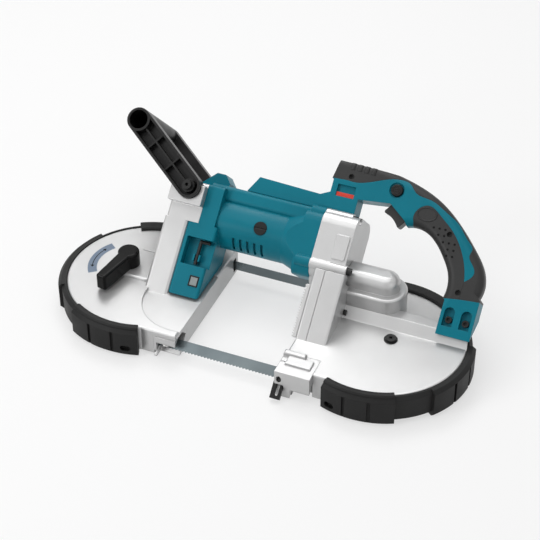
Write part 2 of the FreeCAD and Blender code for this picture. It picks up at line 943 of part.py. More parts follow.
def motor_housing():
    """Moulded case of the motor with its wrench holder, top ridge and right flange."""
    barrel = axle_x(barrel_radius, motor_a, motor_u, barrel_left, motor_right)
    flange = rounded_section(flange_left, motor_right, flange_front, flange_back, flange_low, flange_high,
                             flange_round)
    cone = Part.makeCone(barrel_radius, flange_high - motor_u, flange_left - cone_left,
                         vec(cone_left, motor_a, motor_u), vec(1, 0, 0))
    cone = cone.common(rounded_section(0, motor_right, flange_front, cone_back, flange_low, flange_high,
                                       flange_round))
    shoulder = rounded_section(head_right + fit, barrel_left, strip_front, strip_back, shoulder_low,
                               head_top, holder_round)
    ridge = rounded_section(head_right + fit, motor_right, ridge_front, ridge_back, ridge_low, ridge_top,
                            ridge_round)
    holder = block(strip_right + fit, holder_right, strip_front, holder_back, -strip_step, strip_step - fit)
    holder = softened(holder, holder_round, along("ZLength", strip_step))
    fin = [(fin_left, head_top + run_gap), (fin_right, head_top + run_gap),
           (fin_right, (head_top + fin_top) / 2),
           ((fin_left + fin_right) / 2 + nose_lean, fin_top), ((fin_left + fin_right) / 2, fin_top)]
    bosses = [axle_x(boss_radius, boss_front_a, boss_low_u, boss_left, motor_right),
              axle_x(boss_radius, boss_high_a, boss_high_u, boss_left, motor_right)]
    body = joined([barrel, cone, flange, shoulder, ridge, holder,
                   side_prism(fin, fin_front, fin_back)] + bosses)
    bore = axle_x(barrel_bore, motor_a, motor_u, barrel_left + barrel_floor + motor_bearing_width,
                  motor_right + overrun)
    seat = axle_x(motor_bearing_radius + fit, motor_a, motor_u, left_bearing_x, motor_right)
    body = body.cut(bore).cut(seat)
    recess = block(recess_left, holder_right + overrun, strip_front - overrun, strip_front + recess_depth,
                   recess_low, recess_high)
    body = body.cut(recess)
    for side in (-1, 1):
        outer = motor_a + side * (barrel_radius + overrun)
        hole = across(cap_radius + fit, brush_x, motor_u, outer, outer - side * (cap_sink + overrun))
        way = block(brush_x - brush_width / 2 - fit, brush_x + brush_width / 2 + fit, min(motor_a, outer),
                    max(motor_a, outer), motor_u - brush_thick / 2 - fit, motor_u + brush_thick / 2 + fit)
        body = body.cut(hole).cut(way)
    for row in range(vent_count):
        x = vent_first_x + vent_pitch * row
        for turn in (-vent_turn, vent_turn):
            vent = block(x, x + vent_width, -vent_length / 2, vent_length / 2, barrel_bore - overrun,
                         barrel_radius + overrun)
            vent.rotate(vec(0, 0, 0), vec(1, 0, 0), turn)
            vent.translate(vec(0, motor_a, motor_u))
            body = body.cut(vent)
    body = leaned(body).cut(below(face_height + fit))
    lamp = leaned(lamp_block(fit))
    return joined([body.cut(lamp), wrench_holder_clip()])


def lamp_block(gap):
    """The lens at the foot of the wrench holder, looking down at the cut."""
    return block(lamp_left - gap, lamp_right + gap, strip_front - overrun, strip_front + lamp_thick + gap,
                 lamp_low - gap, lamp_high + gap)


def lamp_lens():
    return leaned(lamp_block(0).common(block(-reach, reach, strip_front, reach, -reach, reach)))


def wrench_holder_clip():
    """Clip at the back of the recess that grips the long leg of the wrench."""
    back = strip_front + recess_depth
    clip = block(wrench_x - clip_half, wrench_x + clip_half, wrench_a - wrench_radius, back + fit,
                 clip_low, clip_high)
    groove = rod(wrench_radius + fit, vec(wrench_x, wrench_a, clip_low), vec(wrench_x, wrench_a, clip_high))
    mouth = block(wrench_x - wrench_radius - fit, wrench_x + wrench_radius + fit, wrench_a - clip_half,
                  wrench_a,
                  clip_low, clip_high)
    return leaned(clip.cut(groove).cut(mouth))


def hex_rod(start, end, radius):
    """A six-sided rod between two points."""
    way = end.sub(start)
    side = way.cross(vec(way.y, way.z, way.x))
    side.normalize()
    points = []
    for corner in range(6):
        turn = FreeCAD.Rotation(way, 60 * corner)
        points.append(start.add(turn.multVec(side).multiply(radius)))
    return Part.Face(Part.makePolygon(points + points[:1])).extrude(way)


def hex_wrench():
    corner = vec(wrench_x, wrench_a, wrench_high)
    long_leg = hex_rod(vec(wrench_x, wrench_a, wrench_low), corner, wrench_radius)
    short_leg = hex_rod(corner, vec(wrench_x + wrench_leg, wrench_a, wrench_high), wrench_radius)
    knee = Part.makeSphere(wrench_radius, corner)
    return leaned(joined([long_leg, short_leg, knee]))


def curve(points):
    line = Part.BSplineCurve()
    line.interpolate([vec(x, 0, u) for x, u in points])
    return line.toShape()


def straight(points):
    return [Part.makeLine(vec(x0, 0, u0), vec(x1, 0, u1)) for (x0, u0), (x1, u1) in zip(points, points[1:])]


def handle_points(shares):
    width = handle_right - bar_left
    height = bar_top - foot_low
    return [(bar_left + width * over, foot_low + height * up) for over, up in shares]


def trigger_notch():
    """The two ends of the handle's edge over the trigger."""
    turn = math.radians(trigger_turn)
    x = trigger_x + trigger_seat * math.sin(turn)
    u = trigger_u + trigger_seat * math.cos(turn)
    half = trigger_length / 2
    return [(x + side * half * math.cos(turn), u - side * half * math.sin(turn)) for side in (1, -1)]


def handle_outline():
    """The D handle with the nose over the motor and the foot on the right cover."""
    outer = handle_points(outer_shares)
    inner = handle_points(inner_shares)
    top = [(block_left, block_top), (bar_left, block_top), (bar_left + pad_chamfer, bar_top), outer[0]]
    foot = [outer[-1], (foot_right, foot_top_outer), (foot_right, foot_low), (foot_left, foot_low),
            (foot_left, foot_top_inner), inner[0]]
    under = [inner[-1]] + trigger_notch() + [(block_right, bar_low), (block_right, nose_low),
             (nose_left, nose_low), (nose_left + nose_lean, nose_high), (block_left - nose_lean,
                                                                         nose_high - nose_lean / 4),
             (block_left, nose_high + nose_lean / 4), (block_left, block_top)]
    edges = straight(top) + [curve(outer)] + straight(foot) + [curve(inner)] + straight(under)
    return Part.Wire(Part.__sortEdges__(edges))


def handle_body():
    face = Part.Face(handle_outline())
    solid = face.extrude(vec(0, handle_far - handle_near, 0))
    solid.translate(vec(0, handle_near, 0))
    rims = lambda box: box.YLength < fit and box.DiagonalLength > handle_round
    return softened(solid, handle_round,
                    lambda box: rims(box) and box.XMin > block_right and box.ZMax > foot_top_outer + fit
                    and box.DiagonalLength > trigger_length + overrun)


def spine_region():
    """Covers the outer black moulding of the handle."""
    line = handle_points(spine_shares)
    far = handle_right + nose_lean * 2
    over = bar_top + nose_lean
    end = line[-1]
    tail = [end, (end[0], foot_top_outer - pad_chamfer), (far, foot_top_outer), (far, over),
            (bar_left - nose_lean, over), (bar_left - nose_lean, block_top + fit), line[0]]
    face = Part.Face(Part.Wire(Part.__sortEdges__([curve(line)] + straight(tail))))
    return face.extrude(vec(0, reach, 0))


def palm_region():
    """Covers the inner black moulding of the handle."""
    line = handle_points(palm_shares)
    end = line[-1]
    low = foot_top_inner + fit
    tail = [end, (end[0], foot_top_outer - pad_chamfer), (foot_left - nose_lean, low),
            (line[0][0] - fit, low), line[0]]
    face = Part.Face(Part.Wire(Part.__sortEdges__([curve(line)] + straight(tail))))
    return face.extrude(vec(0, reach, 0))


def trigger_frame(shape):
    """Turns a shape drawn upright at the trigger to the way the trigger is pulled."""
    out = shape.copy()
    out.rotate(vec(0, 0, 0), vec(0, 1, 0), trigger_turn)
    out.translate(vec(trigger_x, motor_a, trigger_u))
    return out


def trigger_room():
    half = trigger_width / 2 + run_gap
    stem = block(-trigger_length / 2 - run_gap, trigger_length / 2 + run_gap, -half, half, -trigger_length,
                 trigger_deep / 2 + trigger_travel + run_gap)
    switch = block(-switch_length / 2 - fit, switch_length / 2 + fit, -switch_width / 2 - fit,
                   switch_width / 2 + fit,
                   trigger_deep / 2 + trigger_travel, trigger_deep / 2 + trigger_travel + switch_height)
    return trigger_frame(joined([stem, switch]))


def trigger():
    body = block(-trigger_length / 2, trigger_length / 2, -trigger_width / 2, trigger_width / 2,
                 -trigger_deep / 4,
                 trigger_deep / 2)
    body = softened(body, rim_round, lambda box: box.ZMax < fit - trigger_deep / 4)
    dish = across(trigger_dish, 0, -trigger_deep / 8 - trigger_dish, -trigger_width, trigger_width)
    return leaned(trigger_frame(body.cut(dish)))


def switch_body():
    low = trigger_deep / 2 + trigger_travel + run_gap
    body = block(-switch_length / 2, switch_length / 2, -switch_width / 2, switch_width / 2, low,
                 trigger_deep / 2 + trigger_travel + switch_height - fit)
    return leaned(trigger_frame(body))


def lock_button():
    """Cross bolt that locks the trigger, pushed through the handle."""
    start = vec(lock_x, handle_near - lock_proud, lock_u)
    end = vec(lock_x, handle_far - lock_travel, lock_u)
    return leaned(softened(rod(lock_radius, start, end), lock_ring / 2, lambda box: box.YLength < fit))


def handle_cuts():
    """Holes and recesses of the handle shells."""
    cuts = [trigger_room(), across(lock_radius + run_gap, lock_x, lock_u, -reach, reach)]
    cuts.append(across(lock_radius + lock_ring, lock_x, lock_u, handle_near - overrun,
                       handle_near + lock_ring))
    for x, u in handle_points(case_screw_shares):
        cuts.append(across(case_screw_radius + fit, x, u, handle_near - overrun,
                           handle_near + case_screw_deep * 2))
    cuts.append(block(window_left, window_right, handle_near - overrun, handle_near + window_depth,
                      window_low, window_high))
    for x in foot_screw_places():
        recess = block(x - foot_recess_width / 2, x + foot_recess_width / 2, handle_near - overrun,
                       handle_near + foot_recess_deep, foot_recess_low, foot_recess_high)
        crown = across(foot_recess_width / 2, x, foot_recess_high, handle_near - overrun,
                       handle_near + foot_recess_deep)
        cuts += [recess, crown]
        cuts.append(across(foot_screw_radius + fit, x, foot_screw_u(), handle_near, foot_screw_end))
    return joined(cuts[:1]).multiFuse(cuts[1:])


def foot_screw_places():
    quarter = (foot_right - foot_left) / 4
    return (foot_left + quarter, foot_right - quarter)


def foot_screw_u():
    return (foot_recess_low + foot_recess_high) / 2


def handle_pieces():
    """The handle parted into near and far shells and their black mouldings."""
    body = handle_body().cut(handle_cuts())
    spine = spine_region()
    palm = palm_region()
    regions = {"grip_spine": body.common(spine), "grip_palm": body.common(palm).cut(spine)}
    regions["handle"] = body.cut(spine).cut(palm)
    near = block(-reach, reach, -reach, motor_a, -reach, reach)
    out = {}
    for name, region in regions.items():
        out[name + "_near"] = leaned(region.common(near)).common(above(band_height + fit))
        out[name + "_far"] = leaned(region.cut(near)).common(above(band_height + fit))
    rails = battery_rails()
    out["handle_far"] = joined([out["handle_far"]] + [leaned(rail) for rail in rails])
    return out


def battery_rails():
    """Two lipped rails on the far side of the nose that a slide-on pack runs on."""
    rails = []
    middle = (nose_low + nose_high) / 2
    right = block_right - nose_lean
    for side in (-1, 1):
        inner = middle + side * rail_gap / 2
        outer = inner + side * battery_rail
        edge = outer + side * battery_rail / 2
        top = handle_far + battery_rail
        foot = block(battery_left, right, handle_far - fit, top, min(inner, outer), max(inner, outer))
        lip = block(battery_left, right, top, top + battery_rail, min(inner, edge), max(inner, edge))
        rails.append(joined([foot, lip]))
    return rails


def battery_terminal():
    """Contact block between the rails, with two blades."""
    middle = (nose_low + nose_high) / 2
    right = block_right - nose_lean
    left = right - terminal_width
    half = rail_gap / 2 - fit
    body = block(left, right, handle_far + fit, handle_far + battery_rail, middle - half, middle + half)
    blades = []
    for side in (-1, 1):
        u = middle + side * half / 2
        blades.append(block(left, right - terminal_width / 4, handle_far + fit,
                            handle_far + battery_rail * 2,
                            u - terminal_blade / 2, u + terminal_blade / 2))
    return leaned(joined([body] + blades))


def lock_indicator():
    """Red flag at the foot of the window."""
    floor = handle_near + window_depth
    return leaned(block(window_left + fit, window_right - fit, floor - indicator_thick, floor - fit,
                        window_low + fit,
                        window_low + indicator_height))


def case_screws():
    """Screws of the handle shells and of the handle's foot."""
    screws = []
    for x, u in handle_points(case_screw_shares):
        start = vec(x, handle_near + case_screw_deep / 2, u)
        screw = rod(case_screw_radius, start, vec(x, handle_near + case_screw_deep * 2, u))
        screws.append(leaned(screw.cut(rod(socket_radius, start, start.add(vec(0, socket_depth, 0))))))
    for x in foot_screw_places():
        head = across(foot_screw_radius, x, foot_screw_u(), handle_near + foot_recess_deep / 2,
                      foot_screw_end)
        socket = across(socket_radius, x, foot_screw_u(), handle_near, handle_near + foot_recess_deep)
        screws.append(leaned(head.cut(socket)))
    return group(screws)


def front_grip():
    """The moulded bail: two hollow ribbed arms joined by a hollow bar."""
    bar = across(grip_radius, grip_end_x, grip_end_u, grip_near, grip_far)
    near = grip_envelope(0, grip_near, grip_near + grip_arm_thick)
    far = grip_envelope(0, grip_far - grip_arm_thick, grip_far)
    body = joined([near, far, bar])
    inner = grip_radius - grip_wall
    pockets = []
    for a0, a1 in ((grip_near - overrun, grip_near + grip_pocket),
                   (grip_far - grip_pocket, grip_far + overrun)):
        pocket = stadium(grip_pivot_x, grip_pivot_u, grip_end_x, grip_end_u, inner, a0, a1)
        pocket = pocket.cut(across(grip_boss, grip_pivot_x, grip_pivot_u, a0, a1))
        end = across(grip_radius, grip_end_x, grip_end_u, a0, a1)
        pockets.append(pocket.cut(end).cut(grip_ribs_solid(a0, a1)))
    for pocket in pockets:
        body = body.cut(pocket)
    body = body.cut(across(inner, grip_end_x, grip_end_u, grip_near - overrun, grip_far - grip_wall))
    return leaned(body.cut(across(grip_bolt + fit, grip_pivot_x, grip_pivot_u, -reach, reach)))


def grip_ribs_solid(a0, a1):
    """Cross ribs in the hollow of a grip arm, and one along it."""
    dx = grip_end_x - grip_pivot_x
    du = grip_end_u - grip_pivot_u
    length = math.hypot(dx, du)
    ribs = []
    for rib in range(1, grip_ribs + 1):
        share = rib / (grip_ribs + 1)
        x = grip_pivot_x + dx * share
        u = grip_pivot_u + du * share
        nx = -du / length * grip_radius
        nu = dx / length * grip_radius
        ribs.append(stadium(x - nx, u - nu, x + nx, u + nu, grip_rib / 2, a0 + grip_wall + overrun, a1))
    ribs.append(stadium(grip_pivot_x, grip_pivot_u, grip_end_x, grip_end_u, grip_rib / 2,
                        a0 + grip_wall + overrun, a1))
    return joined(ribs)


def grip_bolts():
    """Two socket bolts that hold the grip in its cradle."""
    bolts = []
    for side, seat in ((1, grip_near), (-1, grip_far)):
        inner = strip_front + upright_wall if side > 0 else head_back - upright_wall
        shank = across(grip_bolt, grip_pivot_x, grip_pivot_u, seat, inner)
        head = across(grip_bolt_head, grip_pivot_x, grip_pivot_u, seat - side * fit,
                      seat - side * screw_head_height)
        socket = hex_rod(vec(grip_pivot_x, seat - side * screw_head_height, grip_pivot_u),
                         vec(grip_pivot_x, seat, grip_pivot_u), socket_radius)
        bolts.append(leaned(joined([shank, head]).cut(socket)))
    return bolts


def bumper_section(outer, low, high, start, end, side):
    """One stretch of a bumper, turned round its cover between two angles."""
    inner = rim_radius + fit
    points = [(inner, low), (outer - pad_chamfer, low), (outer, low + pad_chamfer),
              (outer, high - pad_chamfer),
              (outer - pad_chamfer, high), (inner, high)]
    return turned(points, start, end, side)


def turned(points, start, end, side):
    wire = Part.makePolygon([vec(r, 0, z) for r, z in points + points[:1]])
    solid = Part.Face(wire).revolve(vec(0, 0, 0), vec(0, 0, 1), end - start)
    solid.rotate(vec(0, 0, 0), vec(0, 0, 1), start)
    solid.translate(vec(side * rim_spacing / 2, 0, 0))
    return solid


def bumper_lip_section(inward, start, end, side):
    top = face_height + bumper_lip
    inner = rim_radius - inward
    outer = bumper_pad - pad_chamfer
    points = [(inner, face_height + fit), (outer, face_height + fit), (outer, top - bumper_lip / 2),
              (outer - bumper_lip / 2, top), (inner + bumper_lip / 2, top), (inner, top - bumper_lip / 2)]
    return turned(points, start, end, side)


def bumper_eye(side, angle):
    """An oval pocket for a cord, near the throat end of a bumper."""
    inward = vec(-math.cos(angle), -math.sin(angle), 0)
    level = vec(-math.sin(angle), math.cos(angle), 0)
    middle = vec(side * rim_spacing / 2, 0, face_height / 3).sub(inward * bumper_pad)
    places = [middle.add(level * (eye_run * step)) for step in (-1, 0, 1)]
    return joined([rod(eye_radius, place.sub(inward * overrun),
                       place.add(inward * eye_deep)) for place in places])


def bumper(side, whole, pads, lips, eye):
    """A rubber bumper: a thin band with thick pads, some of which lip over the rim."""
    top = face_height + 2 * fit
    pieces = [bumper_section(rim_radius + bumper_thin, bumper_low, top, whole[0], whole[1], side)]
    for start, end in pads:
        pieces.append(bumper_section(bumper_pad, 0, top, start, end, side))
    for start, end, inward in lips:
        pieces.append(bumper_lip_section(inward, start, end, side))
    body = joined(pieces)
    high = face_height - pad_chamfer
    deep = bumper_pad - groove_depth
    groove = [(deep, -overrun), (bumper_pad + overrun, -overrun), (bumper_pad + overrun, high),
              (deep, high)]
    for start, end in pads:
        for third in (1, 2):
            middle = start + (end - start) * third / 3
            body = body.cut(turned(groove, middle - groove_half_angle, middle + groove_half_angle, side))
    return body.cut(bumper_eye(side, math.radians(eye)))


def blade_sections(x0, x1, turn0, turn1, steps):
    """A stretch of blade along X that twists between two angles about its middle line."""
    wires = []
    for step in range(steps + 1):
        share = step / steps
        turn = math.radians(turn0 + (turn1 - turn0) * share)
        x = x0 + (x1 - x0) * share
        corners = []
        for thick, width in ((-1, -1), (1, -1), (1, 1), (-1, 1)):
            y = thick * blade_thick / 2
            z = width * blade_width / 2
            corners.append(vec(x, -blade_radius + y * math.cos(turn) + z * math.sin(turn),
                               blade_height - y * math.sin(turn) + z * math.cos(turn)))
        wires.append(Part.makePolygon(corners + corners[:1]))
    return Part.makeLoft(wires, True, True)


def blade_teeth(x0, x1):
    """Saw-tooth gullets cut along the lower edge of the leaning run."""
    count = int((x1 - x0) / tooth_pitch)
    low = blade_u - blade_width / 2
    points = [(x0, low - overrun)]
    for tooth in range(count):
        x = x0 + tooth * tooth_pitch
        points.append((x, low))
        points.append((x + tooth_pitch * 3 / 4, low + tooth_depth))
    points.append((x0 + count * tooth_pitch, low))
    points.append((x0 + count * tooth_pitch, low - overrun))
    return leaned(side_prism(points, blade_a - blade_width, blade_a + blade_width))


def blade():
    """The closed blade loop, round both wheels and twisted through the guides."""
    centre = wheel_spacing / 2
    low = blade_height - blade_width / 2
    high = blade_height + blade_width / 2
    pieces = [block(-centre, centre, blade_radius - blade_thick / 2, blade_radius + blade_thick / 2, low,
                    high)]
    for side in (-1, 1):
        band = collar(blade_radius + blade_thick / 2, blade_radius - blade_thick / 2, side * centre, low,
                      high)
        half = block(min(side * centre, side * reach), max(side * centre, side * reach), -reach, reach, 0,
                     reach)
        pieces.append(band.common(half))
    left = guide_x_left - holder_half_x
    right = guide_x_right + holder_half_x
    lead = centre - twist_lead
    pieces.append(blade_sections(-centre, -lead, 0, 0, 1))
    pieces.append(blade_sections(-lead, left, 0, lean_angle, twist_steps))
    pieces.append(blade_sections(left, right, lean_angle, lean_angle, 1).cut(blade_teeth(left, right)))
    pieces.append(blade_sections(right, lead, lean_angle, 0, twist_steps))
    pieces.append(blade_sections(lead, centre, 0, 0, 1))
    return joined(pieces)


def wheel(side):
    """A cast wheel with a holed web, open hub for its bearing."""
    x = side * wheel_spacing / 2
    rim = collar(wheel_radius - tyre_thick, wheel_radius - tyre_thick - rim_thick, x, wheel_low, wheel_high)
    web = post(wheel_radius - tyre_thick - rim_thick / 2, x, 0, web_low, web_high)
    hub = post(hub_radius, x, 0, hub_low, wheel_high)
    for hole in range(web_holes):
        angle = math.tau * hole / web_holes
        web = web.cut(post(web_hole_radius, x + web_hole_place * math.cos(angle),
                           web_hole_place * math.sin(angle), web_low - overrun, web_high + overrun))
    return joined([rim, web, hub]).cut(post(bearing_radius + fit, x, 0, 0, reach))


def tyre(side):
    x = side * wheel_spacing / 2
    return collar(wheel_radius, wheel_radius - tyre_thick + fit, x, wheel_low, wheel_high)


def wheel_bearing(side):
    x = side * wheel_spacing / 2
    body = collar(bearing_radius, axle_radius + fit, x, hub_low, wheel_high)
    groove = collar(bearing_radius - rim_round, axle_radius + rim_round, x, hub_low - overrun,
                    hub_low + seal_step)
    return body.cut(groove)


def ring_gear():
    turn = math.atan2(dome_y, pinion_x - wheel_spacing / 2) + math.pi / ring_teeth
    gear = spur_gear(ring_teeth, ring_module, ring_high - ring_low, 1, turn)
    gear.translate(vec(wheel_spacing / 2, 0, ring_low))
    gear = gear.cut(post(ring_inner, wheel_spacing / 2, 0, 0, reach))
    spigot = collar(ring_inner + gear_seat, ring_inner, wheel_spacing / 2, web_high, ring_high)
    return joined([gear, spigot])


def drive_axle():
    """Fixed stud of the drive wheel, held by the screw in the cover's face."""
    x = wheel_spacing / 2
    high = face_height - cover_plate
    stud = joined([post(axle_radius, x, 0, axle_low, high), post(axle_flange_radius, x, 0,
                                                                 high - axle_flange_height, high),
                   post(axle_nut_radius, x, 0, axle_low - axle_nut_height + fit, axle_low + fit)])
    return stud.cut(post(axle_screw_radius + fit, x, 0, high - axle_screw_deep, high + overrun))


def axle_screw():
    x = wheel_spacing / 2
    seat = face_height + washer_height
    low = face_height - cover_plate - axle_screw_deep
    body = joined([post(axle_screw_radius, x, 0, low + fit, seat + fit),
                   post(axle_screw_head, x, 0, seat + fit, seat + axle_screw_height)])
    top = seat + axle_screw_height
    return body.cut(hex_rod(vec(x, 0, top - socket_depth), vec(x, 0, top + overrun), socket_radius + fit))


def axle_washer():
    x = wheel_spacing / 2
    return collar(washer_radius, axle_screw_radius + fit, x, face_height, face_height + washer_height)


def idler_axle():
    x = -wheel_spacing / 2
    return joined([post(axle_radius, x, 0, axle_low, slide_low),
                   post(axle_nut_radius, x, 0, axle_low - axle_nut_height + fit, axle_low + fit)])


def tension_slide():
    """Flat slide under the left cover, with the idler axle's seat and the cam's slot."""
    high = slide_low + slide_thick
    body = block(-wheel_spacing / 2 - slide_arm * 2, -wheel_spacing / 2 + slide_arm, -slide_half,
                 slide_half, slide_low + fit, high)
    body = softened(body, rail_height, along("ZLength", slide_thick / 2))
    window = block(lever_x - cam_throw - cam_radius - cam_slack,
                   lever_x - cam_throw + cam_radius + cam_slack,
                   lever_y - cam_radius - cam_throw - run_gap,
                   lever_y + cam_radius + cam_throw + run_gap, slide_low - overrun, high + overrun)
    return body.cut(window)


def tension_cam():
    """Shaft through the cover with the eccentric that moves the slide."""
    high = slide_low + slide_thick
    shaft = post(cam_shaft_radius, lever_x, lever_y, high, face_height + plateau_rise + lever_arm_low)
    return joined([shaft, post(cam_radius, lever_x - cam_throw, lever_y, slide_low + fit, high + fit)])


def tension_lever():
    """Moulded lever with a hub over the cam shaft and a raised thumb arm."""
    low = face_height + plateau_rise + run_gap
    top = face_height + lever_top
    hub = post(lever_hub, lever_x, lever_y, low, top)
    dx = lever_end_x - lever_x
    dy = lever_end_y - lever_y
    length = math.hypot(dx, dy)
    nx = -dy / length
    ny = dx / length
    corners = []
    for x, y, half in ((lever_x, lever_y, lever_root_half), (lever_end_x, lever_end_y, lever_end_half)):
        corners.append((vec(x + nx * half, y + ny * half, low), vec(x - nx * half, y - ny * half, low)))
    points = [corners[0][0], corners[0][1], corners[1][1], corners[1][0]]
    arm = Part.Face(Part.makePolygon(points + points[:1])).extrude(vec(0, 0, top - low))
    arm = softened(arm, lever_round,
                   lambda box: box.ZLength > lever_round and box.YMax < lever_end_y + lever_end_half)
    body = joined([hub, arm])
    body = softened(body, lever_round, flat_at(top, "ZMin", "ZMax"))
    return body.cut(post(cam_shaft_radius + fit, lever_x, lever_y, 0,
                         face_height + plateau_rise + lever_arm_low + fit))


def guide_block_cut(inner, outer):
    """The leaning pocket of a guide block, open downwards for the blade."""
    half = holder_half_a + pocket_gap
    return leaned(block(inner, outer, blade_a - half, blade_a + half, -reach, blade_u + holder_high))


def guide_blade_slot(inner, outer):
    """The narrow way of the blade through a guide block."""
    return leaned(block(inner, outer, blade_a - blade_slot_half, blade_a + blade_slot_half, -reach,
                        blade_u + holder_low))


def left_guide_block():
    body = left_guide_room(-fit)
    body = body.cut(below(guide_block_low))
    body = body.cut(guide_block_cut(left_block_inner + cover_wall, -left_throat + overrun))
    return body.cut(guide_blade_slot(left_block_inner - overrun, -left_throat + overrun))


def right_guide_block():
    """Cast block of the right guide, with two rounded bars on its top."""
    body = block(right_block_left, right_block_right, right_block_front, right_block_back, guide_block_low,
                 face_height - fit)
    middle = (right_block_left + right_block_right) / 2
    back_bar = block(right_block_left, middle + bar_height, right_block_back - bar_depth, right_block_back,
                     face_height - overrun, face_height + bar_height)
    front_bar = block(right_block_left + bar_depth, right_block_right - bar_height,
                      right_block_back - bar_depth * 3, right_block_back - bar_depth - fit,
                      face_height - overrun, face_height + bar_height / 2)
    bars = [softened(back_bar, bar_round, lambda box: box.ZMin > face_height),
            softened(front_bar, bar_round / 2, lambda box: box.ZMin > face_height)]
    body = joined([body] + bars)
    pocket = guide_block_cut(guide_x_right - holder_half_x - pocket_gap, right_block_right + overrun)
    slot = guide_blade_slot(right_block_left - overrun, right_block_right)
    channel = leaned(block(stopper_left - run_gap, stopper_right + run_gap, stopper_front - run_gap,
                           stopper_front + stopper_thick + run_gap, -reach,
                           stopper_top + stopper_travel + run_gap))
    body = body.cut(pocket).cut(slot).cut(channel)
    x = stopper_bolt_x()
    u = stopper_bolt_u()
    access = leaned(across(stopper_bolt_head + run_gap, x, u, -reach, stopper_front))
    hole = leaned(across(stopper_bolt + fit, x, u, stopper_front, blade_a - blade_slot_half - fit))
    return body.cut(access).cut(hole)


def stopper_bolt_x():
    return (right_block_left + stopper_right) / 2


def stopper_bolt_u():
    return stopper_top - stopper_edge - stopper_slot_half


def stopper_plate():
    """Black plate the work bears on, slotted so that it can be set back."""
    back = stopper_front + stopper_thick
    body = block(stopper_left, stopper_right, stopper_front, back, stopper_tip, stopper_top)
    slot = stadium(stopper_bolt_x(), stopper_bolt_u(), stopper_bolt_x(), stopper_bolt_u() - stopper_travel,
                   stopper_slot_half, stopper_front - overrun, back + overrun)
    return leaned(body.cut(slot))


def stopper_screw():
    """Bolt through the stopper's slot."""
    seat = stopper_front - fit
    end = blade_a - blade_slot_half - pocket_gap
    shank = across(stopper_bolt, stopper_bolt_x(), stopper_bolt_u(), seat, end)
    head = across(stopper_bolt_head, stopper_bolt_x(), stopper_bolt_u(), seat - stopper_bolt_height, seat)
    return leaned(joined([shank, head]))


def roller_places():
    """Offsets of the two side rollers from the blade's middle plane."""
    offset = blade_thick / 2 + run_gap + roller_radius
    return (-offset, offset)


def backup_u():
    return blade_u + blade_width / 2 + run_gap + backup_radius


def guide_holder(x):
    """Holder above the blade with the pins of its rollers."""
    body = block(x - holder_half_x, x + holder_half_x, blade_a - holder_half_a, blade_a + holder_half_a,
                 blade_u + holder_low, blade_u + holder_high - fit)
    half = backup_slot / 2
    body = body.cut(block(x - backup_radius - run_gap, x + backup_radius + run_gap, blade_a - half,
                          blade_a + half, -reach, reach))
    pins = [rod(roller_bore - pin_fit, vec(x, blade_a + offset, blade_u - roller_low - run_gap),
                vec(x, blade_a + offset, blade_u + holder_high - fit))
            for offset in roller_places()]
    backup = across(roller_bore - pin_fit, x, backup_u(), blade_a - holder_half_a, blade_a + holder_half_a)
    return joined([body, backup] + pins)


def trimmed_holder(x):
    return leaned(guide_holder(x)).cut(above(face_height - scoop_depth - cover_plate - fit))


def side_roller(x, offset):
    start = vec(x, blade_a + offset, blade_u - roller_low)
    return leaned(ring(roller_radius, roller_bore, start, vec(x, blade_a + offset, blade_u + roller_high)))


def backup_roller(x):
    half = backup_width / 2
    return leaned(ring(backup_radius, roller_bore, vec(x, blade_a - half, backup_u()),
                       vec(x, blade_a + half, backup_u())))


def armature_shaft():
    """Motor shaft with the pinion cut on its right end."""
    shaft = axle_x(shaft_radius, motor_y, motor_z, shaft_left, spur_left + spur_width)
    shaft = shaft.cut(axle_x(shaft_radius + overrun, motor_y, motor_z, spur_left - spur_overlap, reach))
    gear = spur_gear(motor_teeth, inter_module, spur_width + 2 * spur_overlap, 3, mesh_turn)
    return joined([shaft, laid_along_x(gear, spur_left - spur_overlap, motor_y, motor_z)])


def laid_along_x(gear, x, y, z):
    """Lays a gear drawn on XY with its axis along X: its Y stays and its X points down."""
    gear = gear.copy()
    gear.rotate(vec(0, 0, 0), vec(0, 1, 0), 90)
    gear.translate(vec(x, y, z))
    return gear


def armature_core():
    core = axle_x(core_radius(), motor_a, motor_u, core_left, core_right)
    for slot in range(core_slots):
        cut = block(core_left - overrun, core_right + overrun, -slot_width / 2, slot_width / 2,
                    core_radius() - slot_depth_motor, core_radius() + overrun)
        cut.rotate(vec(0, 0, 0), vec(1, 0, 0), 360 / core_slots * slot)
        cut.translate(vec(0, motor_a, motor_u))
        core = core.cut(cut)
    return leaned(core.cut(axle_x(shaft_radius + fit, motor_a, motor_u, -reach, reach)))


def core_radius():
    return barrel_bore - fit - can_thick - magnet_thick - air_gap


def commutator():
    body = sleeve(commutator_radius, shaft_radius + fit, motor_a, motor_u, commutator_left,
                  commutator_right)
    for bar in range(commutator_bars):
        cut = block(commutator_left - overrun, commutator_right - rim_round, -bar_slit / 2, bar_slit / 2,
                    commutator_radius - bar_slit, commutator_radius + overrun)
        cut.rotate(vec(0, 0, 0), vec(1, 0, 0), 360 / commutator_bars * bar)
        cut.translate(vec(0, motor_a, motor_u))
        body = body.cut(cut)
    return leaned(body)


def motor_fan():
    hub = axle_x(fan_hub, 0, 0, fan_left, fan_right)
    plate = axle_x(fan_radius, 0, 0, fan_right - fan_blade_thick, fan_right)
    blades = []
    for number in range(fan_blades):
        vane = block(fan_left, fan_right, -fan_blade_thick / 2, fan_blade_thick / 2, fan_hub / 2,
                     fan_radius - fan_blade_thick)
        vane.rotate(vec(0, 0, 0), vec(1, 0, 0), 360 / fan_blades * number)
        blades.append(vane)
    body = joined([hub, plate] + blades).cut(axle_x(shaft_radius + fit, 0, 0, fan_left - overrun,
                                                    fan_right + overrun))
    body.translate(vec(0, motor_a, motor_u))
    return leaned(body)


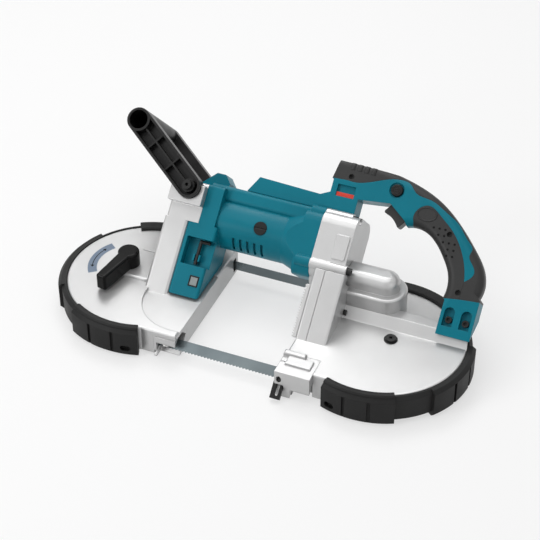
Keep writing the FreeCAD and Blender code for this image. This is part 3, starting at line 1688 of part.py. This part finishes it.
def motor_can():
    outer = barrel_bore - fit
    return leaned(sleeve(outer, outer - can_thick, motor_a, motor_u, can_left, can_right))


def motor_stator():
    """The steel can of the motor with its two magnets."""
    return group([motor_can()] + motor_magnets())


def motor_magnets():
    outer = barrel_bore - fit - can_thick - fit
    points = [vec(can_left + overrun, 0, outer - magnet_thick),
              vec(can_right - overrun, 0, outer - magnet_thick),
              vec(can_right - overrun, 0, outer), vec(can_left + overrun, 0, outer)]
    magnets = []
    for side in (0, 180):
        magnet = Part.Face(Part.makePolygon(points + points[:1])).revolve(vec(0, 0, 0), vec(1, 0, 0),
                                                                          magnet_angle)
        magnet.rotate(vec(0, 0, 0), vec(1, 0, 0), side - magnet_angle / 2)
        magnet.translate(vec(0, motor_a, motor_u))
        magnets.append(leaned(magnet))
    return magnets


def carbon_brushes():
    brushes = []
    for side in (-1, 1):
        inner = motor_a + side * (commutator_radius + run_gap)
        outer = motor_a + side * (barrel_radius + overrun - cap_sink - overrun - fit)
        brushes.append(leaned(block(brush_x - brush_width / 2, brush_x + brush_width / 2,
                                    min(inner, outer), max(inner, outer),
                                    motor_u - brush_thick / 2, motor_u + brush_thick / 2)))
    return group(brushes)


def brush_caps():
    """Slotted screw caps over the brushes, one on each side of the barrel."""
    caps = []
    for side in (-1, 1):
        inner = motor_a + side * (barrel_radius - cap_sink)
        outer = motor_a + side * (barrel_radius + cap_proud)
        cap = across(cap_radius, brush_x, motor_u, inner, outer)
        slot = block(brush_x - cap_radius, brush_x + cap_radius, min(outer, outer - side * cap_slot),
                     max(outer, outer - side * cap_slot),
                     motor_u - cap_slot / 2, motor_u + cap_slot / 2)
        caps.append(leaned(cap.cut(slot)))
    return group(caps)


def shaft_bearings():
    """Ball bearings of the motor, of the intermediate shaft and of the pinion shaft."""
    bearings = []
    for x in (left_bearing_x, right_bearing_x):
        bearings.append(sleeve(motor_bearing_radius, shaft_radius + fit, motor_y, motor_z, x,
                               x + motor_bearing_width))
    for x in (inter_left, inter_right_bearing):
        bearings.append(sleeve(inter_bearing_radius, inter_shaft_radius + fit, dome_y, inter_z, x,
                               x + inter_bearing_width))
    for step in range(2):
        z = pinion_bearing_low + (pinion_bearing_width + bearing_spacer) * step
        outer = post(pinion_bearing_radius, pinion_x, dome_y, z, z + pinion_bearing_width)
        bearings.append(outer.cut(post(pinion_shaft_radius + fit, pinion_x, dome_y, 0, reach)))
    return group(bearings)


def bevel_pinion_x():
    return pinion_x - bevel_module * bevel_teeth_large / 2


def intermediate_shaft():
    """Shaft along X with the large gear of the first reduction."""
    shaft = axle_x(inter_shaft_radius, dome_y, inter_z, inter_left,
                   bevel_pinion_x() + bevel_face - spur_overlap)
    gear = spur_gear(inter_teeth, inter_module, spur_width, 2, mesh_turn + math.pi + math.pi / inter_teeth)
    return joined([shaft, laid_along_x(gear, spur_left, dome_y, inter_z)])


def bevel_pinion():
    cone = math.pi / 2 - cone_large
    gear = bevel_gear(bevel_teeth_small, cone, 3, 0)
    gear.rotate(vec(0, 0, 0), vec(0, 1, 0), -90)
    gear.translate(vec(pinion_x, dome_y, inter_z))
    hub = axle_x(inter_shaft_radius + gear_seat / 2, dome_y, inter_z, bevel_pinion_x() - bevel_hub_height,
                 bevel_pinion_x() + fit)
    return joined([gear, hub]).cut(axle_x(inter_shaft_radius + fit, dome_y, inter_z, 0, reach))


def bevel_wheel():
    gear = bevel_gear(bevel_teeth_large, cone_large, 2, math.pi / bevel_teeth_large)
    gear.rotate(vec(0, 0, 0), vec(1, 0, 0), 180)
    gear.translate(vec(pinion_x, dome_y, inter_z))
    seat = inter_z - cone_length * math.cos(cone_large)
    hub = post(pinion_shaft_radius + gear_seat, pinion_x, dome_y, band_height + run_gap, seat + fit)
    return joined([gear, hub]).cut(post(pinion_shaft_radius + fit, pinion_x, dome_y, 0, reach))


def pinion_shaft():
    """Upright shaft with the pinion that drives the ring gear."""
    high = inter_z - cone_length * math.cos(cone_large) + bevel_face / 3
    shaft = post(pinion_shaft_radius, pinion_x, dome_y, pinion_low, high)
    turn = math.atan2(-dome_y, wheel_spacing / 2 - pinion_x)
    gear = spur_gear(pinion_teeth, ring_module, pinion_high - pinion_low, 4, turn)
    gear.translate(vec(pinion_x, dome_y, pinion_low))
    return joined([shaft, gear])


def frame_screws():
    """Socket screws of the gear housing, the stopper, the front grip and the drive axle."""
    screws = grip_bolts() + [stopper_screw(), axle_screw(), axle_washer()]
    for a, u, end in ((boss_front_a, boss_low_u, boss_low_right),
                      (boss_high_a, boss_high_u, boss_high_right)):
        shank = axle_x(screw_radius, a, u, end - screw_length + overrun, end)
        head = axle_x(screw_head_radius, a, u, end + fit, end + screw_head_height)
        socket = axle_x(socket_radius, a, u, end + screw_head_height - socket_depth,
                        end + screw_head_height + overrun)
        screws.append(leaned(joined([shank, head.cut(socket),
                                     axle_x(screw_radius, a, u, end - overrun, end + overrun)])))
    return group(screws)


makers = (
    left_frame, right_frame, gear_dome, gear_housing, motor_housing, blade, ring_gear, drive_axle,
    idler_axle, tension_slide, tension_cam, tension_lever, left_guide_block, right_guide_block,
    stopper_plate, trigger, switch_body, lock_button, battery_terminal, lock_indicator, case_screws,
    front_grip, hex_wrench, lamp_lens, armature_shaft, armature_core, commutator, motor_fan,
    motor_stator, carbon_brushes, brush_caps, shaft_bearings, intermediate_shaft, bevel_pinion,
    bevel_wheel, pinion_shaft, frame_screws,
)


def all_pieces():
    """Every piece of the saw by its node name."""
    pieces = {make.__name__: make() for make in makers}
    pieces["slot_liners"] = group([slot_liner(-1, left_throat), slot_liner(1, right_throat)])
    pieces["guide_holders"] = group([trimmed_holder(x) for x in (guide_x_left, guide_x_right)])
    for name, side in (("idler", -1), ("drive", 1)):
        pieces[name + "_wheel"] = wheel(side)
        pieces[name + "_tyre"] = tyre(side)
        pieces[name + "_bearing"] = wheel_bearing(side)
    for name, x in (("left", guide_x_left), ("right", guide_x_right)):
        for place, offset in zip(("front", "rear"), roller_places()):
            pieces[name + "_" + place + "_roller"] = side_roller(x, offset)
        pieces[name + "_backup_roller"] = backup_roller(x)
    pieces.update(handle_pieces())
    pieces["left_bumper"] = bumper(-1, left_band_angles, left_pad_angles, left_lips, left_eye_angle)
    pieces["right_bumper"] = bumper(1, right_band_angles, right_pad_angles, right_lips, right_eye_angle)
    return pieces


def footprint_centre(shapes):
    """The middle of the whole saw on the ground, which becomes the origin."""
    boxes = [shape.optimalBoundingBox(False) for shape in shapes]
    x = (min(box.XMin for box in boxes) + max(box.XMax for box in boxes)) / 2
    y = (min(box.YMin for box in boxes) + max(box.YMax for box in boxes)) / 2
    return vec(x, y, min(box.ZMin for box in boxes))


saw = all_pieces()
origin = footprint_centre(saw.values())
print("origin on the saw", [round(value, 3) for value in origin])
for name, shape in saw.items():
    shape.translate(origin.negative())
    shape.exportStep("parts/" + name + ".step")
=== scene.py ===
"""Looks of the portable band saw: finishes, small trim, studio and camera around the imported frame."""
import json
import math

import bmesh
import bpy
from mathutils import Matrix, Vector
from mathutils.bvhtree import BVHTree


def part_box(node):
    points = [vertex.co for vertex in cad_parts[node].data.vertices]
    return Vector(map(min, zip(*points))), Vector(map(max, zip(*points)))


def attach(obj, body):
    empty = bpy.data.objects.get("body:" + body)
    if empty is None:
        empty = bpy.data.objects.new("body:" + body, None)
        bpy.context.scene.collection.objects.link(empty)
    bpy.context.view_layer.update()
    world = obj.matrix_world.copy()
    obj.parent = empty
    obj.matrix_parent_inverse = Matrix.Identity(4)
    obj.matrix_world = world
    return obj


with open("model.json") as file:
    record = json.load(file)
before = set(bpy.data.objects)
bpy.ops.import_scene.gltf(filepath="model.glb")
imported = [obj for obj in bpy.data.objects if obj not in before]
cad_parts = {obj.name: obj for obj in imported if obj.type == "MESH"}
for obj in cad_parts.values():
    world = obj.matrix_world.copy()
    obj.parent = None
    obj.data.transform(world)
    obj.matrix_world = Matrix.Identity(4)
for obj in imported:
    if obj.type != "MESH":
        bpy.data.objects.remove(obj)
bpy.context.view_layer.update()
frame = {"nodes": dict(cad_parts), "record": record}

MM = 0.001
LEAN = math.sqrt(0.5)  # sine and cosine of the motor's lean
FACE = 37.0  # height of the wheel covers' flat tops, in millimetres


def wheels_middle():
    """The point between the two wheels, from which the trim is placed."""
    corners = [corner for node in ("drive_wheel", "idler_wheel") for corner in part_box(node)]
    total = Vector((0, 0, 0))
    for corner in corners:
        total += Vector(corner)
    return Vector((total.x / len(corners), total.y / len(corners), 0))


middle = wheels_middle()


def place(x, y, z):
    """A point in millimetres from the middle of the wheels, z from the ground."""
    return middle + Vector((x, y, z)) * MM


def leaning(x, a, u):
    """A point in millimetres in the motor's leaning frame: a to the back, u up the lean."""
    return place(x, (u + a) * LEAN, FACE + (u - a) * LEAN)


def near_face(x0, face, u0):
    """Gives places on a face that looks to the front of the lean, counted from a point on it."""
    return lambda x, u, out: leaning(x0 + x, face - out, u0 + u)


# Node helpers

def new_material(name):
    """A material with its node tree and its shader."""
    material = bpy.data.materials.new(name)
    material.use_nodes = True
    tree = material.node_tree
    return material, tree, tree.nodes["Principled BSDF"]


def add(tree, kind, **inputs):
    """Adds a node and sets its inputs by name, from values or from sockets."""
    node = tree.nodes.new(kind)
    for name, value in inputs.items():
        socket = node.inputs[name.replace("_", " ")]
        if isinstance(value, bpy.types.NodeSocket):
            tree.links.new(value, socket)
        else:
            socket.default_value = value
    return node


def blend(tree, factor, low, high):
    """A colour ramp over the middle of a noise, from one colour to another."""
    low_stop, high_stop = 0.3, 0.7
    node = add(tree, "ShaderNodeValToRGB", Fac=factor)
    stops = ((low_stop, low), (high_stop, high))
    for element, (spot, colour) in zip(node.color_ramp.elements, stops):
        element.position = spot
        element.color = (*colour, 1.0)
    return node.outputs["Color"]


def grey(value):
    return (value, value, value)


def spots(tree, scale, detail=2.0):
    """Noise in the part's own coordinates."""
    spot = add(tree, "ShaderNodeTexCoord").outputs["Object"]
    return add(tree, "ShaderNodeTexNoise", Vector=spot, Scale=scale, Detail=detail).outputs["Fac"]


def soft_normal(tree, shader, edge, height, strength):
    """Softens the edges by a small radius and lays a fine grain over them."""
    grain_depth = 0.2
    bevel = add(tree, "ShaderNodeBevel", Radius=edge * MM)
    bevel.samples = 6
    bump = add(tree, "ShaderNodeBump", Height=height, Strength=strength, Distance=grain_depth * MM,
               Normal=bevel.outputs["Normal"])
    tree.links.new(bump.outputs["Normal"], shader.inputs["Normal"])


# Finishes

def finish(name, dark, light, rough, grain, strength, edge, metallic=0.0, shine=0.5):
    """A moulded, cast or ground finish: cloudy colour, cloudy gloss, soft edges and a fine grain."""
    colour_clouds, gloss_clouds = 14.0, 35.0
    material, tree, shader = new_material(name)
    colour = blend(tree, spots(tree, colour_clouds, 4.0), dark, light)
    tree.links.new(colour, shader.inputs["Base Color"])
    smooth, dull = rough
    gloss = blend(tree, spots(tree, gloss_clouds, 3.0), grey(smooth), grey(dull))
    tree.links.new(gloss, shader.inputs["Roughness"])
    shader.inputs["Metallic"].default_value = metallic
    shader.inputs["Specular IOR Level"].default_value = shine
    soft_normal(tree, shader, edge, spots(tree, grain), strength)
    return material


finishes = {
    "cast_aluminium": finish("cast silver", grey(0.49), grey(0.54), rough=(0.28, 0.33), grain=1100.0,
                             strength=0.25, edge=1.2, metallic=0.5),
    "teal_plastic": finish("teal plastic", (0.001, 0.155, 0.215), (0.002, 0.18, 0.245),
                           rough=(0.30, 0.38), grain=1400.0, strength=0.2, edge=1.0, shine=0.15),
    "black_plastic": finish("black plastic", grey(0.006), grey(0.010), rough=(0.3, 0.4), grain=1300.0,
                            strength=0.25, edge=0.8, shine=0.22),
    "black_rubber": finish("black rubber", grey(0.009), grey(0.014), rough=(0.46, 0.6), grain=1100.0,
                           strength=0.35, edge=1.0, shine=0.2),
    "tyre_rubber": finish("tyre rubber", grey(0.02), grey(0.035), rough=(0.6, 0.75), grain=700.0,
                          strength=0.4, edge=0.5, shine=0.25),
    "blade_steel": finish("blade steel", (0.125, 0.15, 0.16), (0.17, 0.20, 0.21), rough=(0.25, 0.38),
                          grain=600.0, strength=0.15, edge=0.1, metallic=0.85),
    "black_screws": finish("black oxide", grey(0.010), grey(0.018), rough=(0.28, 0.4), grain=900.0,
                           strength=0.15, edge=0.4, metallic=0.3, shine=0.3),
    "machine_steel": finish("machine steel", grey(0.36), grey(0.48), rough=(0.25, 0.4), grain=700.0,
                            strength=0.12, edge=0.3, metallic=0.95),
    "motor_iron": finish("motor iron", grey(0.07), grey(0.12), rough=(0.45, 0.6), grain=500.0,
                         strength=0.3, edge=0.3, metallic=0.8),
    "copper": finish("turned copper", (0.5, 0.2, 0.1), (0.62, 0.28, 0.15), rough=(0.25, 0.4),
                     grain=700.0, strength=0.15, edge=0.2, metallic=0.95),
    "carbon": finish("pressed carbon", grey(0.015), grey(0.03), rough=(0.5, 0.65), grain=900.0,
                     strength=0.3, edge=0.2, shine=0.3),
    "red_plastic": finish("red plastic", (0.62, 0.03, 0.012), (0.72, 0.045, 0.02), rough=(0.24, 0.34),
                          grain=900.0, strength=0.08, edge=0.2),
    "lamp_glass": finish("lamp lens", (0.22, 0.25, 0.25), (0.34, 0.37, 0.37), rough=(0.08, 0.14),
                         grain=500.0, strength=0.05, edge=0.3),
}
lever_finish = finish("gloss black", grey(0.003), grey(0.005), rough=(0.16, 0.24), grain=900.0,
                      strength=0.1, edge=1.0, shine=0.12)
trigger_finish = finish("charcoal plastic", grey(0.016), grey(0.022), rough=(0.34, 0.44), grain=1200.0,
                        strength=0.25, edge=1.0, shine=0.3)
decal_finish = finish("blue grey print", (0.10, 0.15, 0.22), (0.13, 0.18, 0.26), rough=(0.3, 0.4),
                      grain=900.0, strength=0.05, edge=0.05)
# Dark ink for the printed line by the lever; on the palm dots the same dark colour is painted shade standing
# in for pits.
print_and_pit_shade_finish = finish("dark print and painted pit shade", grey(0.003), grey(0.005), rough=(0.5, 0.6), grain=900.0,
                    strength=0.05, edge=0.05, shine=0.1)
handle_rubber = finish("handle rubber", grey(0.017), grey(0.024), rough=(0.42, 0.54), grain=1100.0,
                       strength=0.35, edge=1.2, shine=0.3)
# A darker copy of the teal plastic: painted shade for the slots in the barrel.
vent_shade_finish = finish("teal in painted shade", (0.001, 0.10, 0.14), (0.002, 0.12, 0.165), rough=(0.5, 0.6),
                       grain=900.0, strength=0.3, edge=0.2, shine=0.2)
dark_steel = finish("dark steel", grey(0.05), grey(0.08), rough=(0.3, 0.42), grain=700.0,
                    strength=0.15, edge=0.3, metallic=0.8)

# Nodes whose finish differs from the usual one of their material slot.
special = {"trigger": trigger_finish, "tension_lever": lever_finish, "guide_holders": dark_steel}
for moulding in ("grip_spine_near", "grip_spine_far", "grip_palm_near", "grip_palm_far"):
    special[moulding] = handle_rubber
slots = {row["node"]: row["material_slot"] for row in frame["record"]["subparts"]}
for node, thing in frame["nodes"].items():
    thing.data.materials.clear()
    thing.data.materials.append(special.get(node, finishes[slots[node]]))


# Mesh helpers for the small trim

def piece(name, bm, slot, *materials, body="frame"):
    """Turns a mesh in the part's frame into a piece that rides on one of its bodies."""
    bmesh.ops.recalc_face_normals(bm, faces=bm.faces)
    mesh = bpy.data.meshes.new(name)
    bm.to_mesh(mesh)
    bm.free()
    for material in materials:
        mesh.materials.append(material)
    thing = bpy.data.objects.new(name, mesh)
    bpy.context.scene.collection.objects.link(thing)
    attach(thing, body)
    return thing


def surface(node):
    """The surface of a node, for laying trim on it."""
    thing = frame["nodes"][node]
    corners = [thing.matrix_world @ vertex.co for vertex in thing.data.vertices]
    return BVHTree.FromPolygons(corners, [tuple(face.vertices) for face in thing.data.polygons])


def circle(sides):
    """The angles of a circle's corners."""
    return [math.tau * side / sides for side in range(sides)]


def skin(bm, sections, closed, material=0):
    """Skins a row of closed cross sections, each a list of points; round ones are shaded smooth."""
    most_corners_flat = 6
    loops = [[bm.verts.new(point) for point in section] for section in sections]
    count = len(loops[0])
    pairs = list(zip(loops, loops[1:] + loops[:1] if closed else loops[1:]))
    for low, high in pairs:
        for corner in range(count):
            after = (corner + 1) % count
            face = bm.faces.new((low[corner], low[after], high[after], high[corner]))
            face.material_index = material
            face.smooth = count > most_corners_flat
    if not closed:
        for loop in (loops[0], loops[-1]):
            bm.faces.new(loop).material_index = material


def bar(bm, point, half_x, half_u, rise, soft):
    """A low bar with rounded shoulders; point(x, u, out) gives places on the face that carries it."""
    sink, steps = 0.3, 3
    levels = [(0.0, -sink)]
    for step in range(steps + 1):
        turn = math.pi / 2 * step / steps
        levels.append((soft * (1 - math.cos(turn)), rise - soft * (1 - math.sin(turn))))
    sections = []
    for inset, out in levels:
        x, u = half_x - inset, half_u - inset
        sections.append([point(-x, -u, out), point(x, -u, out), point(x, u, out), point(-x, u, out)])
    skin(bm, sections, False)


def oval_ring(bm, point, half_x, half_u, tube, rise, steps, tilt=0.0):
    """A raised ring; point(x, u, out) gives places on the face that carries it."""
    sections = []
    for turn in circle(steps):
        section = []
        for roll in circle(8):
            x = (half_x + tube * math.cos(roll)) * math.cos(turn)
            u = (half_u + tube * math.cos(roll)) * math.sin(turn)
            section.append(point(x * math.cos(tilt) - u * math.sin(tilt),
                                 x * math.sin(tilt) + u * math.cos(tilt), rise * math.sin(roll)))
        sections.append(section)
    skin(bm, sections, True)


# Small trim, in millimetres

def lever_print():
    """A plain printed arc beside the tension lever, with an arrow at each end of its line."""
    pivot_x, pivot_y = -176.7, 7.8
    band_inner, band_outer, band_start, band_end = 39.5, 50.5, 142.0, 218.0
    line_radius, line_half, line_start, line_end = 45.0, 0.5, 160.0, 200.0
    head_half, head_swing = 2.4, 5.0
    band_low, band_top, ink_top = -0.1, 0.06, 0.1
    steps = 28
    bm = bmesh.new()

    def at(radius, angle, rise):
        turn = math.radians(angle)
        return place(pivot_x + radius * math.cos(turn), pivot_y + radius * math.sin(turn), FACE + rise)

    def arc(inner, outer, start, end, low, high, material):
        sections = []
        for step in range(steps + 1):
            angle = start + (end - start) * step / steps
            sections.append([at(inner, angle, low), at(outer, angle, low), at(outer, angle, high),
                             at(inner, angle, high)])
        skin(bm, sections, False, material)

    arc(band_inner, band_outer, band_start, band_end, band_low, band_top, 0)
    arc(line_radius - line_half, line_radius + line_half, line_start, line_end, 0.0, ink_top, 1)
    for angle, way in ((line_start, -1), (line_end, 1)):
        corners = ((line_radius - head_half, angle), (line_radius, angle + way * head_swing),
                   (line_radius + head_half, angle))
        skin(bm, [[at(radius, turn, rise) for radius, turn in corners] for rise in (0.0, ink_top)],
             False, 1)
    return piece("lever_print", bm, "black_plastic", decal_finish, print_and_pit_shade_finish)


def thumb_ring():
    """A raised oval on the palm rubber where the thumb rests."""
    ring_x, rubber_face, ring_u = 160.0, 4.0, 150.0
    bm = bmesh.new()
    oval_ring(bm, near_face(ring_x, rubber_face, ring_u), half_x=11.4, half_u=7.6, tube=0.9, rise=0.55,
              steps=40, tilt=math.radians(4.0))
    return piece("thumb_ring", bm, "black_rubber", handle_rubber)


def palm_dots():
    """Small round grip marks on the palm rubber, in rows beside its screw: low dished discs whose dark
    colour is painted shade, standing in for pits.
    """
    first_x, first_u = 171.2, 137.2
    column_x, column_u = 7.0, 0.2
    row_x, row_u = 0.4, -7.2
    rows = ((0, 1, 2), (0, 1, 2), (1, 2, 3, 4), (2, 3, 4), (3, 4))
    profile = ((1.35, -0.2), (1.35, 0.12), (0.9, 0.12), (0.5, 0.02))
    in_front, least_facing = -20.0, 0.9
    bm = bmesh.new()
    rubber = surface("grip_palm_near")
    away = (leaning(0, -1, 0) - leaning(0, 0, 0)).normalized()
    along = Vector((1, 0, 0))
    for row, columns in enumerate(rows):
        for column in columns:
            x = first_x + column_x * column + row_x * row
            u = first_u + column_u * column + row_u * row
            spot, normal, _, _ = rubber.ray_cast(leaning(x, in_front, u), -away)
            if spot is None or normal.dot(away) < least_facing:
                continue
            side = (along - normal * along.dot(normal)).normalized()
            other = normal.cross(side)
            sections = []
            for radius, out in profile:
                sections.append([spot + (side * math.cos(turn) * radius + other * math.sin(turn) * radius
                                         + normal * out) * MM for turn in circle(12)])
            skin(bm, sections, False)
    return piece("palm_dots", bm, "black_rubber", print_and_pit_shade_finish)


def spine_ribs():
    """Four low ribs that wrap over the near edge of the spine rubber at the nose."""
    first_left, pitch, width, end = 57.4, 8.5, 5.6, 0.5
    top_x, top_u, top_slope = 66.0, 188.47, -0.0229
    profile = [(5.2, -8.4), (3.7, -8.0), (3.4, -7.4), (3.4, -2.9), (3.9, -0.9), (5.3, 0.3), (6.6, 0.6),
               (14.0, 0.6), (14.0, -0.8), (7.2, -0.8), (5.2, -3.4)]
    bm = bmesh.new()
    for number in range(4):
        left = first_left + pitch * number
        right = left + width
        sections = []
        for x, shrink in ((left, end), (left + end, 0.0), (right - end, 0.0), (right, end)):
            top = top_u + top_slope * (x - top_x)
            sections.append([leaning(x, a + shrink, top + rise - shrink) for a, rise in profile])
        skin(bm, sections, False)
    return piece("spine_ribs", bm, "black_rubber", handle_rubber)


def lock_mark():
    """A raised ring and two bars on the near face of the lock button."""
    button_x, button_face, button_u = 118.0, 2.4, 169.0
    ring_radius, bar_offset = 4.7, 1.2
    bm = bmesh.new()
    oval_ring(bm, near_face(button_x, button_face, button_u), ring_radius, ring_radius, tube=0.5, rise=0.4,
              steps=36)
    for offset in (-bar_offset, bar_offset):
        bar(bm, near_face(button_x, button_face, button_u + offset), half_x=2.4, half_u=0.55, rise=0.4,
            soft=0.2)
    return piece("lock_mark", bm, "black_plastic", finishes["black_plastic"], body="lock_button")


def vent_shade_sheets():
    """Two arcs of teal sheet inside the barrel's wall, behind its slots; their darker teal is painted shade,
    so the slots read as shaded teal grooves.
    """
    motor_a, motor_u = 19.5, 86.0
    left, right, inner, outer = -59.0, -16.0, 27.3, 28.2
    start, sweep, steps = 120.0, 50.0, 16
    corners = ((left, inner), (right, inner), (right, outer), (left, outer))
    bm = bmesh.new()
    for side in (-1, 1):
        sections = []
        for step in range(steps + 1):
            turn = math.radians(side * (start + sweep * step / steps))
            sections.append([leaning(x, motor_a - radius * math.sin(turn), motor_u + radius * math.cos(turn))
                             for x, radius in corners])
        skin(bm, sections, False)
    return piece("vent_shade_sheets", bm, "teal_plastic", vent_shade_finish)


def indicator_ribs():
    """Upright ribs on the face of the red flag."""
    first_x, flag_length, gaps = 50.0, 18.0, 10
    flag_face, flag_u = 5.5, 149.6
    bm = bmesh.new()
    for number in range(gaps + 1):
        x = first_x + flag_length * number / gaps
        bar(bm, near_face(x, flag_face, flag_u), half_x=0.45, half_u=1.9, rise=0.4, soft=0.2)
    return piece("indicator_ribs", bm, "red_plastic", finishes["red_plastic"])


def lamp_bezel():
    """A dark frame round the lens at the foot of the wrench holder."""
    left, right, low, high = -90.0, -81.0, 1.0, 11.0
    holder_face = -14.0
    profile = ((0.0, 0.3), (0.0, -0.5), (0.5, -0.8), (1.1, -0.8), (1.5, -0.4), (1.5, 0.3))
    bm = bmesh.new()
    sections = []
    for grow, deep in profile:
        corners = ((left - grow, low - grow), (right + grow, low - grow), (right + grow, high + grow),
                   (left - grow, high + grow))
        sections.append([leaning(x, holder_face + deep, u) for x, u in corners])
    skin(bm, sections, True)
    return piece("lamp_bezel", bm, "black_plastic", finishes["black_plastic"])


def cover_rib():
    """A short cast rib at the back of the lever's bed."""
    rib_x, rib_y = -164.0, 43.0
    bm = bmesh.new()
    bar(bm, lambda x, y, out: place(rib_x + x, rib_y + y, FACE + out), half_x=11.0, half_u=1.5, rise=1.6,
        soft=0.6)
    return piece("cover_rib", bm, "cast_aluminium", finishes["cast_aluminium"])


def pillar_screw():
    """A socket screw in the corner between the right pillar and the rib behind it."""
    screw_y, screw_z = 19.4, 41.8
    profile = ((3.4, 93.6), (3.4, 97.2), (2.9, 97.7), (1.8, 97.7), (1.8, 95.6), (0.4, 95.4))
    bm = bmesh.new()
    sections = []
    for radius, x in profile:
        sections.append([place(x, screw_y + radius * math.cos(turn), screw_z + radius * math.sin(turn))
                         for turn in circle(24)])
    skin(bm, sections, False)
    return piece("pillar_screw", bm, "black_screws", finishes["black_screws"])


lever_print()
thumb_ring()
palm_dots()
spine_ribs()
lock_mark()
vent_shade_sheets()
indicator_ribs()
lamp_bezel()
cover_rib()
pillar_screw()


# Studio, in metres

def larger(tree, first, second):
    """The larger of two sockets."""
    node = add(tree, "ShaderNodeMath")
    node.operation = "MAXIMUM"
    tree.links.new(first, node.inputs[0])
    tree.links.new(second, node.inputs[1])
    return node.outputs[0]


def bright_to_eye(tree, shade, level):
    """Mixes a shader with plain white light for the camera, mirrors and glass."""
    path = add(tree, "ShaderNodeLightPath").outputs
    seen = larger(tree, path["Is Camera Ray"], path["Is Glossy Ray"])
    seen = larger(tree, seen, path["Is Transmission Ray"])
    share = add(tree, "ShaderNodeMath")
    share.operation = "MULTIPLY"
    tree.links.new(seen, share.inputs[0])
    share.inputs[1].default_value = level
    white = add(tree, "ShaderNodeEmission" if shade.node.type != "BACKGROUND" else "ShaderNodeBackground")
    white.inputs["Color"].default_value = (1, 1, 1, 1)
    white.inputs["Strength"].default_value = 1.0
    mix = add(tree, "ShaderNodeMixShader", Fac=share.outputs[0])
    tree.links.new(shade, mix.inputs[1])
    tree.links.new(white.outputs[0], mix.inputs[2])
    return mix.outputs[0]


def studio_floor():
    """A wide pale floor that keeps a light shadow."""
    half = 6.0
    share_of_white = 0.6
    corners = [(-half, -half, 0), (half, -half, 0), (half, half, 0), (-half, half, 0)]
    mesh = bpy.data.meshes.new("floor")
    mesh.from_pydata(corners, [], [(0, 1, 2, 3)])
    floor = bpy.data.objects.new("floor", mesh)
    bpy.context.scene.collection.objects.link(floor)
    material, tree, shader = new_material("pale floor")
    shader.inputs["Base Color"].default_value = (*grey(0.9), 1)
    shader.inputs["Roughness"].default_value = 0.9
    shader.inputs["Specular IOR Level"].default_value = 0.1
    seen = bright_to_eye(tree, shader.outputs["BSDF"], share_of_white)
    tree.links.new(seen, tree.nodes["Material Output"].inputs["Surface"])
    mesh.materials.append(material)


def studio_world():
    """Even soft light from all round, seen as white."""
    world = bpy.data.worlds.new("studio")
    bpy.context.scene.world = world
    world.use_nodes = True
    tree = world.node_tree
    sky = tree.nodes["Background"]
    sky.inputs["Color"].default_value = (1.0, 1.0, 1.0, 1)
    sky.inputs["Strength"].default_value = 0.3
    seen = bright_to_eye(tree, sky.outputs["Background"], 1.0)
    tree.links.new(seen, tree.nodes["World Output"].inputs["Surface"])


def soft_light(name, spot, size, power):
    """A round lamp that looks at the middle of the saw."""
    aim = Vector((0.0, 0.0, 0.08))
    lamp = bpy.data.lights.new(name, "AREA")
    lamp.shape = "DISK"
    lamp.size = size
    lamp.energy = power
    thing = bpy.data.objects.new(name, lamp)
    bpy.context.scene.collection.objects.link(thing)
    thing.location = spot
    thing.rotation_euler = (aim - Vector(spot)).to_track_quat("-Z", "Y").to_euler()


studio_floor()
studio_world()
soft_light("overhead", (-0.35, 0.1, 1.9), size=2.6, power=22.0)
soft_light("sheen", (-0.65, 1.1, 1.95), size=1.1, power=11.0)
soft_light("front left", (-1.3, -1.6, 1.0), size=0.8, power=14.0)
soft_light("right", (1.6, -0.9, 0.9), size=0.9, power=1.5)


# Camera

def photo_camera():
    """Camera at the photograph's viewing angle."""
    turn = math.radians(22.5)
    rise = math.radians(38.6)
    spot = place(557.6, -1322.9, 1236.1)
    side = Vector((math.cos(turn), math.sin(turn), 0))
    back = Vector((math.sin(turn) * math.cos(rise), -math.cos(turn) * math.cos(rise), math.sin(rise)))
    up = back.cross(side)
    data = bpy.data.cameras.new("camera")
    data.sensor_width = 36.0
    data.lens = 106.667
    camera = bpy.data.objects.new("camera", data)
    bpy.context.scene.collection.objects.link(camera)
    rotation = Matrix((side, up, back)).transposed().to_4x4()
    camera.matrix_world = Matrix.Translation(spot) @ rotation
    bpy.context.scene.camera = camera


photo_camera()
bpy.context.scene.view_settings.view_transform = "Standard"
